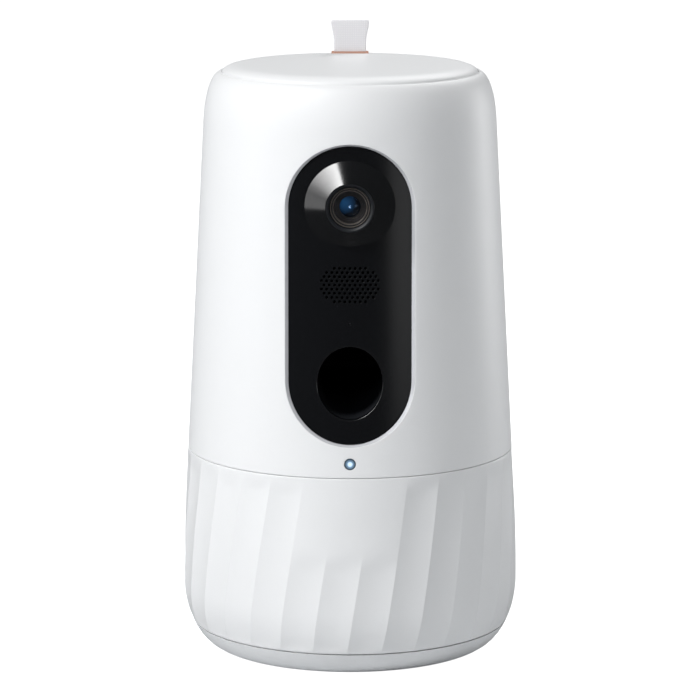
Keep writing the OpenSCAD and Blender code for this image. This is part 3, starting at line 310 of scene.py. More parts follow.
def carried_round(loop: np.ndarray, profile: np.ndarray) -> np.ndarray:
    """Loops beside a loop on the wall, one for each point of a profile.

    Each point moves along the loop's outward normal, which is the line between its two neighbours
    turned by a quarter. Its x then becomes an azimuth, whose sine is x over the wall's radius.

    Args:
        loop: points x, z of shape (points, 2).
        profile: pairs of distance outside the loop and depth, of which the first counts here.

    Returns:
        Azimuths and heights, of shape (profile points, points, 2).
    """
    before, after = np.roll(loop, 1, 0), np.roll(loop, -1, 0)
    normal = np.stack([after[:, 1] - before[:, 1], before[:, 0] - after[:, 0]], -1)
    normal /= np.linalg.norm(normal, axis=1, keepdims=True)
    middle = np.array([0, (loop[:, 1].min() + loop[:, 1].max()) / 2])
    normal *= np.sign((normal * (loop - middle)).sum(1, keepdims=True))
    loops = loop + profile[:, :1, None] * normal
    return np.stack([np.arcsin(loops[..., 0] / OUTLINE.radius(loops[..., 1])), loops[..., 1]], -1)


def rounded(corner_r: float, steps: int = 4) -> np.ndarray:
    """Quarter circle of an edge, as pairs of distance outside the edge and depth, from the face down."""
    angle = between(0, math.pi / 2, steps)
    return corner_r * np.stack([1 - np.sin(angle), 1 - np.cos(angle)], -1)


def turned(profile: np.ndarray, steps: int) -> np.ndarray:
    """A profile of radius and height turned about the Z axis.

    Args:
        profile: points of shape (count, 2).
        steps: steps around.

    Returns:
        Points (r cos a, r sin a, z), of shape (count, steps, 3).
    """
    angle = between(0, 2 * math.pi, steps)[:-1]
    r, z = profile[:, :1], profile[:, 1:]
    return np.stack(np.broadcast_arrays(r * np.cos(angle), r * np.sin(angle), z), -1)


def facing_front(points: np.ndarray, z: float) -> np.ndarray:
    """Turns points about the Z axis so that their Z becomes the way to the front, at height z."""
    return np.stack([points[..., 0], -points[..., 2], z + points[..., 1]], -1)


def softened(corners: np.ndarray, reach: float, steps: int = 4) -> np.ndarray:
    """An open profile with its inner corners rounded.

    Each corner gives way to a curve that starts and ends at its reach, or a third of the way to a closer
    neighbour: the mean of its two ends and the corner, weighted as a quadratic curve is.

    Args:
        corners: points of shape (count, 2).
        reach: reach of the rounding.
        steps: steps along each rounding.

    Returns:
        Points of shape ((count - 2) (steps + 1) + 2, 2).
    """
    middle = corners[1:-1]
    ends = []
    for other in (corners[:-2], corners[2:]):
        way = other - middle
        length = np.linalg.norm(way, axis=1, keepdims=True)
        ends.append(middle + way * np.minimum(reach, length / 3) / length)
    t = between(0, 1, steps)[:, None, None]
    curves = (1 - t) ** 2 * ends[0] + 2 * t * (1 - t) * middle + t ** 2 * ends[1]
    return np.concatenate([corners[:1], curves.transpose(1, 0, 2).reshape(-1, 2), corners[-1:]])


# Finishes

def linear(code: str) -> tuple[float, float, float, float]:
    """Turns an sRGB hex code into a linear colour with full alpha."""
    parts = [int(code[i:i + 2], 16) / 255 for i in (1, 3, 5)]
    return tuple(c / 12.92 if c <= 0.04045 else ((c + 0.055) / 1.055) ** 2.4 for c in parts) + (1.0,)


def add_node(tree: bpy.types.NodeTree, kind: str, sets: dict | None = None, links: dict | None = None,
             **values: object) -> bpy.types.Node:
    """Adds a node to a material.

    Args:
        tree: node tree of the material.
        kind: Blender's name for the node type.
        sets: attribute names and their values.
        links: input names or numbers, and the output sockets that feed them.
        values: input names, with _ for a space, and their values.

    Returns:
        The node.
    """
    node = tree.nodes.new(kind)
    for name, value in (sets or {}).items():
        setattr(node, name, value)
    for name, value in values.items():
        node.inputs[name.replace("_", " ")].default_value = value
    for name, socket in (links or {}).items():
        tree.links.new(socket, node.inputs[name])
    return node


class Grain(Enum):
    """How the fine relief of a surface is spread."""

    CLOUDS = "clouds"
    LINES = "lines"
    WEAVE = "weave"
    HALO = "halo"


FACING_FRONT = (1.0, 0.0, 1.0)  # stretch of a pattern that is the same from front to back
THREAD_WANDER = 0.4             # how much woven threads stray
CLOUD_DETAIL = 2.0              # octaves of finer noise in a cloudy pattern
NOISE_ROUGHNESS = 0.55          # share of each finer octave
RELIEF_STRENGTH = 0.6
MIX_DARK, MIX_LIGHT = 6, 7      # colour sockets of a Mix node


@dataclass(frozen=True)
class Finish:
    """One real material, its colours and the pattern of its surface.

    The pattern is a noise in Object coordinates, so its size is a real one. It tints the colour
    between two codes, varies the gloss and raises the relief. A halo falls evenly from 1 at its centre
    to 0 at a distance of its grain, and its glow falls with it.
    """

    name: str
    light: str                          # colour where the pattern is 1
    dark: str                           # colour where it is 0
    roughness: float
    roughness_spread: float = 0.05      # how far the pattern moves it, both ways
    metallic: float = 0.0
    ior: float = 1.5
    coat: float = 0.0
    coat_roughness: float = 0.05
    sheen: float = 0.0
    grain: Grain = Grain.CLOUDS
    grain_mm: float = 0.8
    relief_mm: float = 0.01
    stretch: tuple[float, float, float] = (1.0, 1.0, 1.0)
    centre: tuple[float, float, float] = (0.0, 0.0, 0.0)    # of a halo
    mirror_tint: str = "#ffffff"        # colour of what it mirrors
    glow: str | None = None
    glow_strength: float = 0.0
    alpha: float = 1.0

    def pattern(self, tree: bpy.types.NodeTree) -> bpy.types.NodeSocket:
        """Adds the nodes of the surface pattern.

        Args:
            tree: node tree of the material.

        Returns:
            The socket that gives the pattern, from 0 to 1.
        """
        place = add_node(tree, "ShaderNodeTexCoord")
        scaled = add_node(tree, "ShaderNodeMapping", None, {"Vector": place.outputs["Object"]},
                          Scale=self.stretch)
        if self.grain is Grain.WEAVE:
            threads = 1 / (self.grain_mm * MM * 2 * math.pi)
            waves = [add_node(tree, "ShaderNodeTexWave", {"wave_type": "BANDS", "bands_direction": way},
                              {"Vector": scaled.outputs[0]}, Scale=threads, Distortion=THREAD_WANDER)
                     for way in ("X", "Z")]
            return add_node(tree, "ShaderNodeMath", {"operation": "MULTIPLY"},
                            {0: waves[0].outputs["Fac"], 1: waves[1].outputs["Fac"]}).outputs[0]
        if self.grain is Grain.HALO:
            away = add_node(tree, "ShaderNodeVectorMath", {"operation": "DISTANCE"}, {0: scaled.outputs[0]})
            away.inputs[1].default_value = self.centre
            return add_node(tree, "ShaderNodeMapRange", None, {"Value": away.outputs["Value"]},
                            From_Max=self.grain_mm * MM, To_Min=1.0, To_Max=0.0).outputs[0]
        detail = CLOUD_DETAIL if self.grain is Grain.CLOUDS else 0.0
        noise = add_node(tree, "ShaderNodeTexNoise", None, {"Vector": scaled.outputs[0]},
                         Scale=1 / (self.grain_mm * MM), Detail=detail, Roughness=NOISE_ROUGHNESS)
        return noise.outputs["Fac"]

    def material(self) -> bpy.types.Material:
        """Makes the material, once.

        Returns:
            The material of this name.
        """
        if self.name in bpy.data.materials:
            return bpy.data.materials[self.name]
        material = bpy.data.materials.new(self.name)
        material.use_nodes = True
        tree = material.node_tree
        shader = tree.nodes["Principled BSDF"]
        fixed = {"Metallic": self.metallic, "IOR": self.ior, "Coat Weight": self.coat,
                 "Coat Roughness": self.coat_roughness, "Sheen Weight": self.sheen, "Alpha": self.alpha}
        for name, value in fixed.items():
            shader.inputs[name].default_value = value
        shader.inputs["Specular Tint"].default_value = linear(self.mirror_tint)
        pattern = self.pattern(tree)
        if self.glow:
            shader.inputs["Emission Color"].default_value = linear(self.glow)
            shader.inputs["Emission Strength"].default_value = self.glow_strength
            if self.grain is Grain.HALO:
                fall = add_node(tree, "ShaderNodeMath", {"operation": "MULTIPLY"}, {0: pattern})
                fall.inputs[1].default_value = self.glow_strength
                tree.links.new(fall.outputs[0], shader.inputs["Emission Strength"])
        tint = add_node(tree, "ShaderNodeMix", {"data_type": "RGBA"}, {"Factor": pattern})
        tint.inputs[MIX_DARK].default_value = linear(self.dark)
        tint.inputs[MIX_LIGHT].default_value = linear(self.light)
        gloss = add_node(tree, "ShaderNodeMapRange", None, {"Value": pattern},
                         To_Min=self.roughness - self.roughness_spread,
                         To_Max=self.roughness + self.roughness_spread)
        relief = add_node(tree, "ShaderNodeBump", None, {"Height": pattern}, Strength=RELIEF_STRENGTH,
                          Distance=self.relief_mm * MM)
        tree.links.new(tint.outputs[2], shader.inputs["Base Color"])
        tree.links.new(gloss.outputs[0], shader.inputs["Roughness"])
        tree.links.new(relief.outputs[0], shader.inputs["Normal"])
        return material


# ABS moulded against a fine spark-eroded tool: a soft satin with hardly any sparkle. The grit of about
# 0.05 mm is drawn at 0.35 mm, the finest that shows.
HOUSING_ABS = Finish("spark_textured_white_abs", "#ebeced", "#e7e8e9", 0.46, 0.05, grain_mm=0.35,
                     relief_mm=0.012)
# The same tool with a vapour-honed surface, a little smoother: it shows the flutes' shading.
SKIRT_ABS = Finish("honed_white_abs", "#ebeced", "#e7e8e9", 0.42, 0.05, grain_mm=0.35, relief_mm=0.01)
# Polycarbonate moulded against a lightly blasted tool: even satin black, which mirrors little.
PANEL_PC = Finish("satin_black_polycarbonate", "#0f1013", "#0c0d0f", 0.26, 0.03, ior=1.33, grain_mm=0.3,
                  relief_mm=0.004)
# Polycarbonate moulded against a polished tool: the cone mirrors the lights in long wedges.
BEZEL_PC = Finish("polished_black_polycarbonate", "#0e0f11", "#0b0c0e", 0.17, 0.02, ior=1.55, grain_mm=4,
                  relief_mm=0.001)
# The frame of the panel, moulded in a slightly greyer ABS against a polished tool: a thin bright line.
FRAME_ABS = Finish("polished_pale_grey_abs", "#cfd0d4", "#c7c8cc", 0.25, 0.03, grain_mm=2, relief_mm=0.002)
# Aluminium turned, blasted and anodised black: the dyed skin shows, so it isn't metallic to the eye.
LENS_RING = Finish("black_anodised_aluminium", "#17181b", "#101114", 0.33, 0.04, grain_mm=0.4,
                   relief_mm=0.003)
# Burnished metal stained dark: two thin rings that catch the light around the lens.
RETAINER = Finish("burnished_lens_retainer", "#6a645f", "#56514c", 0.35, 0.05, metallic=0.2, grain_mm=0.5,
                  relief_mm=0.002)
# ABS moulded against plain tool steel: dull, and dark so that the treats' way doesn't show.
DUCT_ABS = Finish("plain_black_abs", "#191c21", "#131519", 0.5, 0.05, grain_mm=0.6, relief_mm=0.01)
# The same in grey, for the parts that nobody sees.
INNER_ABS = Finish("plain_grey_abs", "#3d4045", "#33363a", 0.5, 0.05, grain_mm=0.8, relief_mm=0.01)
# Polypropylene moulded against a smooth tool: an even, slightly waxy white. Its roughness is kept over
# 0.3, because from 0.24 to 0.32 it renders with patches that have sharp edges.
HOPPER_PP = Finish("smooth_white_polypropylene", "#e3e5e6", "#d8dadc", 0.36, 0.04, grain_mm=3,
                   relief_mm=0.004)
# Acetal moulded without a dye: a warm milky white with a dull gloss.
ACETAL = Finish("moulded_natural_acetal", "#ebe8dc", "#e0ddd0", 0.34, 0.04, grain_mm=1.2, relief_mm=0.004)
# Polypropylene dyed and moulded: a plain orange that is easy to see down the hopper.
WHEEL_PP = Finish("moulded_orange_polypropylene", "#d98a3c", "#c97b30", 0.34, 0.05, grain_mm=1.5,
                  relief_mm=0.005)
# Steel rolled, then zinc plated: bright, with fine upright lines.
STEEL = Finish("zinc_plated_steel", "#c3c6ca", "#a9adb2", 0.28, 0.06, metallic=1.0, grain_mm=0.6,
               relief_mm=0.002, stretch=(1.0, 1.0, 0.15), grain=Grain.LINES)
# Steel drawn into a can and nickel plated: brighter, with longer lines.
CAN_STEEL = Finish("drawn_nickel_plated_steel", "#b9bcc1", "#9fa3a8", 0.24, 0.05, metallic=1.0, grain_mm=0.5,
                   relief_mm=0.002, stretch=(1.0, 1.0, 0.1), grain=Grain.LINES)
# Brass turned on a lathe: yellow, with fine level lines.
BRASS = Finish("turned_brass", "#cda95c", "#b08d45", 0.26, 0.06, metallic=1.0, grain_mm=0.4,
               relief_mm=0.002, stretch=(0.3, 0.3, 1.0), grain=Grain.LINES)
# Glass fibre laminate under a green solder mask: glossy over the weave.
BOARD = Finish("solder_masked_glass_fibre", "#24604a", "#17503c", 0.3, 0.08, grain_mm=1.6, relief_mm=0.02)
# Epoxy moulded around the chips: dull black.
COMPONENT = Finish("moulded_epoxy", "#1a1b1d", "#111214", 0.45, 0.06, grain_mm=0.5, relief_mm=0.006)
# Rubber moulded with a filler: matt grey.
RUBBER = Finish("moulded_grey_rubber", "#4a4c4f", "#3c3e41", 0.8, 0.06, grain_mm=0.5, relief_mm=0.03)
# Silicone moulded without a filler: a soft white.
SILICONE = Finish("translucent_white_silicone", "#e6e8ea", "#dcdee1", 0.5, 0.05, grain_mm=1, relief_mm=0.01)
# Both light pieces are frosted acrylic, lit from their middle: the light fades out from the axis.
RING_ACRYLIC = Finish("frosted_navy_acrylic", "#a9cbe8", "#26343f", 0.35, 0.03, grain=Grain.HALO,
                      grain_mm=2.3, relief_mm=0.0, stretch=FACING_FRONT, centre=(0.0, 0.0, LIGHT_Z),
                      glow="#8fc4f2", glow_strength=0.35)
LIGHT_PIPE = Finish("lit_acrylic_light_pipe", "#eaf6ff", "#7fb0da", 0.32, 0.03, grain=Grain.HALO,
                    grain_mm=1.9, relief_mm=0.0, stretch=FACING_FRONT, centre=(0.0, 0.0, LIGHT_Z),
                    glow="#cfe9ff", glow_strength=0.55)
# Polyester tape in a plain weave, with threads 0.5 mm apart: matt white.
TAB_TAPE = Finish("woven_white_tape", "#e9e8ea", "#dddcdf", 0.85, 0.05, sheen=0.2, grain=Grain.WEAVE,
                  grain_mm=0.5, relief_mm=0.06)
# The same in a finer weave, dyed: the thin warm line at the tape's root.
TAB_BINDING = Finish("woven_terracotta_tape", "#c79f8e", "#b58a78", 0.85, 0.05, sheen=0.2, grain=Grain.WEAVE,
                     grain_mm=0.4, relief_mm=0.05)
# Matt sheet of white acrylic, lit from behind: the ground fades into the white surroundings.
FLOOR_SHEET = Finish("backlit_white_acrylic", "#d9dbdd", "#d4d6d8", 0.9, 0.02, grain_mm=20, relief_mm=0.0,
                     glow="#ffffff", glow_strength=1.0)
# The inner element: a glass dome with a blue anti-reflection coating, and a painted highlight. Its colour is
# bright blue at the upper left, where the key light's crescent falls, and fades to dark towards the lower
# right.
PUPIL_PAINTED_HIGHLIGHT = Finish("blue_lens_glass_painted_highlight", "#2c6ca8", "#040912", 0.16, 0.02, ior=1.7, mirror_tint="#7fb4ec",
               coat=0.8, coat_roughness=0.04, grain=Grain.HALO, grain_mm=5.2, relief_mm=0.0,
               stretch=FACING_FRONT, centre=(-2.4 * MM, 0.0, LENS_Z + 1.7 * MM))
# The seat around it: aluminium turned in fine steps and stained dark.
LENS_SEAT = Finish("stained_turned_aluminium", "#454140", "#383534", 0.4, 0.04, metallic=0.2, grain_mm=0.5,
                   relief_mm=0.002)
# The front glass: clear, with a thin dark coating.
FRONT_GLASS = Finish("clear_coated_front_glass", "#0b1018", "#090d14", 0.04, 0.01, ior=1.6, grain_mm=3,
                     relief_mm=0.0, alpha=0.22)

SLOT_FINISH = {
    "white_shell": HOUSING_ABS, "black_panel": PANEL_PC, "black_bezel": BEZEL_PC, "lens_black": LENS_RING,
    "lens_glass": PUPIL_PAINTED_HIGHLIGHT, "status_ring": RING_ACRYLIC, "status_light": LIGHT_PIPE,
    "hopper_plastic": HOPPER_PP, "inner_plastic": INNER_ABS, "rotor_plastic": DUCT_ABS,
    "duct_plastic": DUCT_ABS, "wheel_plastic": WHEEL_PP, "acetal": ACETAL, "rubber": RUBBER,
    "silicone": SILICONE, "steel": STEEL, "brass": BRASS, "motor_metal": CAN_STEEL, "board": BOARD,
    "components": COMPONENT, "tab_fabric": TAB_TAPE, "tab_edge": TAB_BINDING,
}


def place_piece(name: str, cloth: Patchwork, finish: Finish, body: str,
                replaced: tuple[str, ...] = (), crease: float = 35) -> bpy.types.Object:
    """Welds a patchwork into a finished piece that rides on its body.

    Args:
        name: name of the piece and of its mesh.
        cloth: its surface, with its place in its points.
        finish: its material.
        body: the CAD body that it rides on.
        replaced: CAD nodes that it stands for.
        crease: edges that turn by more than this many degrees stay sharp.

    Returns:
        The new object.
    """
    mesh = cloth.mesh(name, crease)
    piece = bpy.data.objects.new(name, mesh)
    bpy.context.scene.collection.objects.link(piece)
    mesh.materials.append(finish.material())
    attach(piece, body)
    if replaced:
        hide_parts(*replaced)
    return piece


# Sub-assemblies

@dataclass(frozen=True)
class PanelOpening:
    """Sizes that the wall, the frame and the black panel share."""

    half_width: float = 26.15 * MM
    low: float = 127.65 * MM            # centres of the round ends
    high: float = 200.05 * MM
    gap: float = 0.25 * MM              # between the panel and the frame
    bevel_w: float = 0.8 * MM
    inset: float = 1.5 * MM             # from the wall's face to the panel's

    def frame_loop(self, arc_steps: int, side_steps: int) -> np.ndarray:
        """Returns the outer edge of the frame, a long oval x, z."""
        half_width = self.half_width + self.gap + self.bevel_w
        return stadium_loop(half_width, self.low, self.high, arc_steps, side_steps)


OPENING = PanelOpening()


@dataclass
class UpperHousing:
    """The tapered white wall with its shoulder, rim, lower lip, panel opening and two small holes."""

    low_z: float
    high_z: float
    wall: float = WALL
    edge_r: float = 0.3 * MM
    rim_flat: float = 0.5               # width over height of the rounding at the rim
    rim_in: float = 0.45 * MM           # from the top edge in to the lid's recess
    rim_drop: float = 5.3 * MM
    rim_ledge: float = 4.5 * MM
    ledge_h: float = 2 * MM
    lining_z: float = 88.5 * MM         # where the wall's inner side starts
    lining_drop: float = 9 * MM         # from the ledge down to where it ends
    lip_gap: float = 0.2 * MM           # from the skirt's inside to the lip
    lip_w: float = 1.7 * MM
    lip_h: float = 4.6 * MM
    columns: int = 240
    first_row: float = 88.2 * MM
    light_rows: tuple[float, float, int] = (88.9 * MM, 97.9 * MM, 6)        # window: low, high, columns
    button_rows: tuple[float, float, int] = (93.4 * MM, 103.4 * MM, 8)
    panel_rows: tuple[float, float, int] = (97.9 * MM, 231 * MM, 42)
    last_row: float = 227.4 * MM        # of the straight part
    button_steps: int = 4               # from the light's last row to the button's
    straight_steps: int = 40
    shoulder_steps: int = 22
    shoulder_spread: float = 0.87       # below 1, the shoulder's first rows are wider
    ring_steps: int = 6                 # loops around a hole, outside and inside
    lining_steps: int = 3
    hole_edge_r: float = 0.2 * MM
    light_z: float = LIGHT_Z
    light_r: float = 2.47 * MM
    button_z: float = 98.4 * MM
    button_r: float = 3.5 * MM

    def rows(self) -> np.ndarray:
        """Heights of the grid lines between the lower edge's rounding and the shoulder's top.

        Returns:
            Heights, of which the windows of the light and the button take whole steps.
        """
        light_low, light_high, light_wide = self.light_rows
        button_high = self.button_rows[1]
        low = joined(np.array([self.first_row, light_low]), between(light_low, light_high, light_wide),
                     between(light_high, button_high, self.button_steps))
        straight = between(button_high, self.last_row, self.straight_steps)
        top = self.high_z - self.edge_r - OUTLINE.shoulder_z
        turn = between(0, math.pi / 2, self.shoulder_steps)
        shoulder = OUTLINE.shoulder_z + top * np.sin(turn) ** self.shoulder_spread
        return np.concatenate([joined(low, straight), shoulder])

    def steps_up(self, rows: np.ndarray, span: tuple[float, float, int]) -> int:
        """Returns how many grid steps lie between a span's lowest and highest row."""
        return int(((rows > span[0] - WELD) & (rows < span[1] + WELD)).sum()) - 1

    def window(self, cloth: Patchwork, rows: np.ndarray, span: tuple[float, float, int],
               hole: np.ndarray, edge: np.ndarray, centre: float = 0.0) -> np.ndarray:
        """Fills a window of the grid with a hole that runs through the wall.

        Args:
            cloth: patchwork that the window joins.
            rows: heights of the grid lines.
            span: lowest and highest row of the window, and its width in columns.
            hole: loop x, z of the hole.
            edge: pairs of distance outside the hole and depth, from the face down.
            centre: azimuth of the window, in radians.

        Returns:
            Which quads of the grid the window takes, of shape (rows - 1, columns).
        """
        low, high, wide = span
        inside = rows[(rows > low - WELD) & (rows < high + WELD)]
        lines = between(-wide, wide, wide) * math.pi / self.columns
        rim = window_loop(lines, inside)
        loops = carried_round(hole, edge)
        outer = grid_between(rim, loops[0], self.ring_steps)[:-1]
        inner = grid_between(rim, loops[-1], self.lining_steps)[::-1][1:]
        places = np.concatenate([outer, loops, inner])
        depth = np.concatenate([np.zeros(len(outer)), edge[:, 1], np.full(len(inner), self.wall)])
        cloth.add(OUTLINE.around(places[..., 0] + centre, places[..., 1], depth[:, None]), round_cols=True)
        # In halves of a column, from the window's middle to each column's middle, the short way round.
        middle = 2 * round(centre / (2 * math.pi) * self.columns)
        offset = (np.arange(self.columns) * 2 + 1 - middle + self.columns) % (2 * self.columns) - self.columns
        tall = (rows[:-1] > low - WELD) & (rows[1:] < high + WELD)
        return tall[:, None] & (np.abs(offset) < wide)[None]

    def build(self) -> bpy.types.Object:
        """Builds the housing wall: a closed profile carried round, with three windows.

        Returns:
            The piece.
        """
        cloth = Patchwork()
        rows = self.rows()
        radius = OUTLINE.radius
        fillet = rounded(self.edge_r)
        foot = np.stack([radius(self.low_z) - fillet[::-1, 1], self.low_z + fillet[::-1, 0]], -1)
        side = np.stack([radius(rows), rows], -1)
        top_r = radius(self.high_z)
        rim = np.stack([top_r - fillet[:, 1] * self.rim_flat, self.high_z - fillet[:, 0]], -1)
        recess_r = top_r - self.rim_in
        ledge_r, ledge_z = recess_r - self.rim_ledge, self.high_z - self.rim_drop
        recess = np.array([[recess_r, self.high_z], [recess_r, ledge_z], [ledge_r, ledge_z],
                           [ledge_r, ledge_z - self.ledge_h]])
        inside = rows[(rows > self.lining_z) & (rows < ledge_z - self.lining_drop)]
        lining = np.stack([radius(inside) - self.wall, inside], -1)[::-1]
        lip_r = radius(self.low_z) - self.wall - self.lip_gap
        lip_z = self.low_z - self.lip_h
        lip = np.array([[lip_r - self.lip_w, self.low_z], [lip_r - self.lip_w, lip_z], [lip_r, lip_z],
                        [lip_r, self.low_z]])
        profile = np.concatenate([foot, side, rim, recess, lining, lip])
        steps = between(0, 2 * math.pi, self.columns)[:-1]
        radii, heights = profile[:, :1], profile[:, 1:]
        points = np.stack(np.broadcast_arrays(radii * np.sin(steps), -radii * np.cos(steps), heights), -1)
        low_row, high_row, wide = self.panel_rows
        panel_rows = (low_row, rows[np.argmin(np.abs(rows - high_row))], wide)
        edge = np.concatenate([rounded(self.hole_edge_r), [[0, self.wall]]])
        panel = OPENING.frame_loop(wide, self.steps_up(rows, panel_rows))
        gone = self.window(cloth, rows, panel_rows, panel, edge)
        for radius, z, span, centre in ((self.light_r, self.light_z, self.light_rows, 0.0),
                                        (self.button_r, self.button_z, self.button_rows, math.pi)):
            hole = circle_loop(radius, span[2], self.steps_up(rows, span)) + [0, z]
            gone |= self.window(cloth, rows, span, hole, edge, centre)
        keep = np.ones((len(profile), self.columns), bool)
        outside = len(foot)
        keep[outside:outside + len(rows) - 1] = ~gone
        lined = outside + len(rows) + len(rim) + len(recess)
        matching = gone[int((rows <= self.lining_z).sum()):][:len(inside) - 1]
        keep[lined:lined + len(inside) - 1] = ~matching[::-1]
        cloth.add(points, round_rows=True, round_cols=True, keep=keep)
        return place_piece("housing_wall", cloth, HOUSING_ABS, "head", ("upper_housing",), 32)


@dataclass
class PanelFrame:
    """The narrow bevelled ring between the wall and the black panel."""

    wall: float = WALL
    fit: float = 0.02 * MM
    face: float = 0.06 * MM             # from the wall's face down to the bevel's outer edge
    step: float = 0.1 * MM              # from the bevel's inner edge down to the panel's face
    soft: float = 0.12 * MM
    arc_steps: int = 96
    side_steps: int = 48

    def build(self) -> bpy.types.Object:
        """Builds the ring: a closed profile with a bevel, carried round the frame's edge.

        Returns:
            The piece.
        """
        inner = -OPENING.bevel_w
        corners = np.array([[-self.fit, self.wall], [-self.fit, self.face],
                            [inner, OPENING.inset - self.step], [inner, self.wall]])
        profile = softened(corners, self.soft)
        places = carried_round(OPENING.frame_loop(self.arc_steps, self.side_steps), profile)
        cloth = one_grid(OUTLINE.around(places[..., 0], places[..., 1], profile[:, 1:]))
        return place_piece("panel_frame_ring", cloth, FRAME_ABS, "head", ("panel_frame",))


@dataclass
class Skirt:
    """The lower wall with leaning concave flutes that fade at the seams and under a plain patch."""

    low_z: float
    high_z: float
    wall: float = WALL
    edge_r: float = 0.3 * MM
    flutes: int = 30
    depth: float = 0.8 * MM
    lean: float = 0.122 / MM            # degrees of turn for a metre of height
    turn: float = -1.05                 # degrees at the lower edge
    plain_flutes: int = 3
    plain_z: float = 52 * MM
    plain_low: float = 6 * MM           # from plain_z down to where the flutes start to fade
    plain_fade: float = 10 * MM
    fade_top: float = 9 * MM
    fade_low: float = 6 * MM
    start_low: float = 2 * MM           # of the lower fade, under the lower edge
    steps: int = 16                     # columns in one flute
    bands: int = 96
    inner_bands: int = 24

    def hollow(self, part: np.ndarray, number: np.ndarray, z: np.ndarray) -> np.ndarray:
        """Depth of the flutes.

        Across a flute it is a parabola that is 0 at both edges. It fades smoothly at the two seams, and
        about plain_z in the flutes of the plain patch.

        Args:
            part: place across the flute, from 0 to 1.
            number: number of the flute, counted from the front.
            z: heights.

        Returns:
            Depths in metres.
        """
        near = np.where(number < self.flutes / 2, number, number - self.flutes)
        first = -(self.plain_flutes // 2) - 1
        plain = (near >= first) & (near < first + self.plain_flutes)
        fade = smooth((self.high_z - z) / self.fade_top)
        fade = fade * smooth((z - self.low_z + self.start_low) / self.fade_low)
        patch = np.where(plain, 1 - smooth((z - self.plain_z + self.plain_low) / self.plain_fade), 1)
        return self.depth * 4 * part * (1 - part) * fade * patch

    def build(self) -> bpy.types.Object:
        """Builds the skirt: a grid whose columns lean with the flutes and crowd at their edges.

        Returns:
            The piece.
        """
        across = (1 - np.cos(between(0, math.pi, self.steps)[:-1])) / 2
        part = np.tile(across, self.flutes)
        number = np.repeat(np.arange(self.flutes), self.steps)
        fillet = rounded(self.edge_r, 3)
        rows = between(self.low_z + self.edge_r, self.high_z - self.edge_r, self.bands)
        outer = np.concatenate([self.low_z + fillet[::-1, 0], rows[1:-1], self.high_z - fillet[:, 0]])
        pressed = np.concatenate([fillet[::-1, 1], np.zeros(len(rows) - 2), fillet[:, 1]])
        inner = between(self.high_z, self.low_z, self.inner_bands)
        z = np.concatenate([outer, inner])[:, None]
        angle = np.radians(360 * (number + part) / self.flutes + self.turn + self.lean * (z - self.low_z))
        depth = self.hollow(part, number, outer[:, None]) + pressed[:, None]
        depth = np.concatenate([depth, np.full((len(inner), len(part)), self.wall)])
        cloth = one_grid(OUTLINE.around(angle, z, depth))
        return place_piece("fluted_skirt", cloth, SKIRT_ABS, "head", ("skirt",), 40)


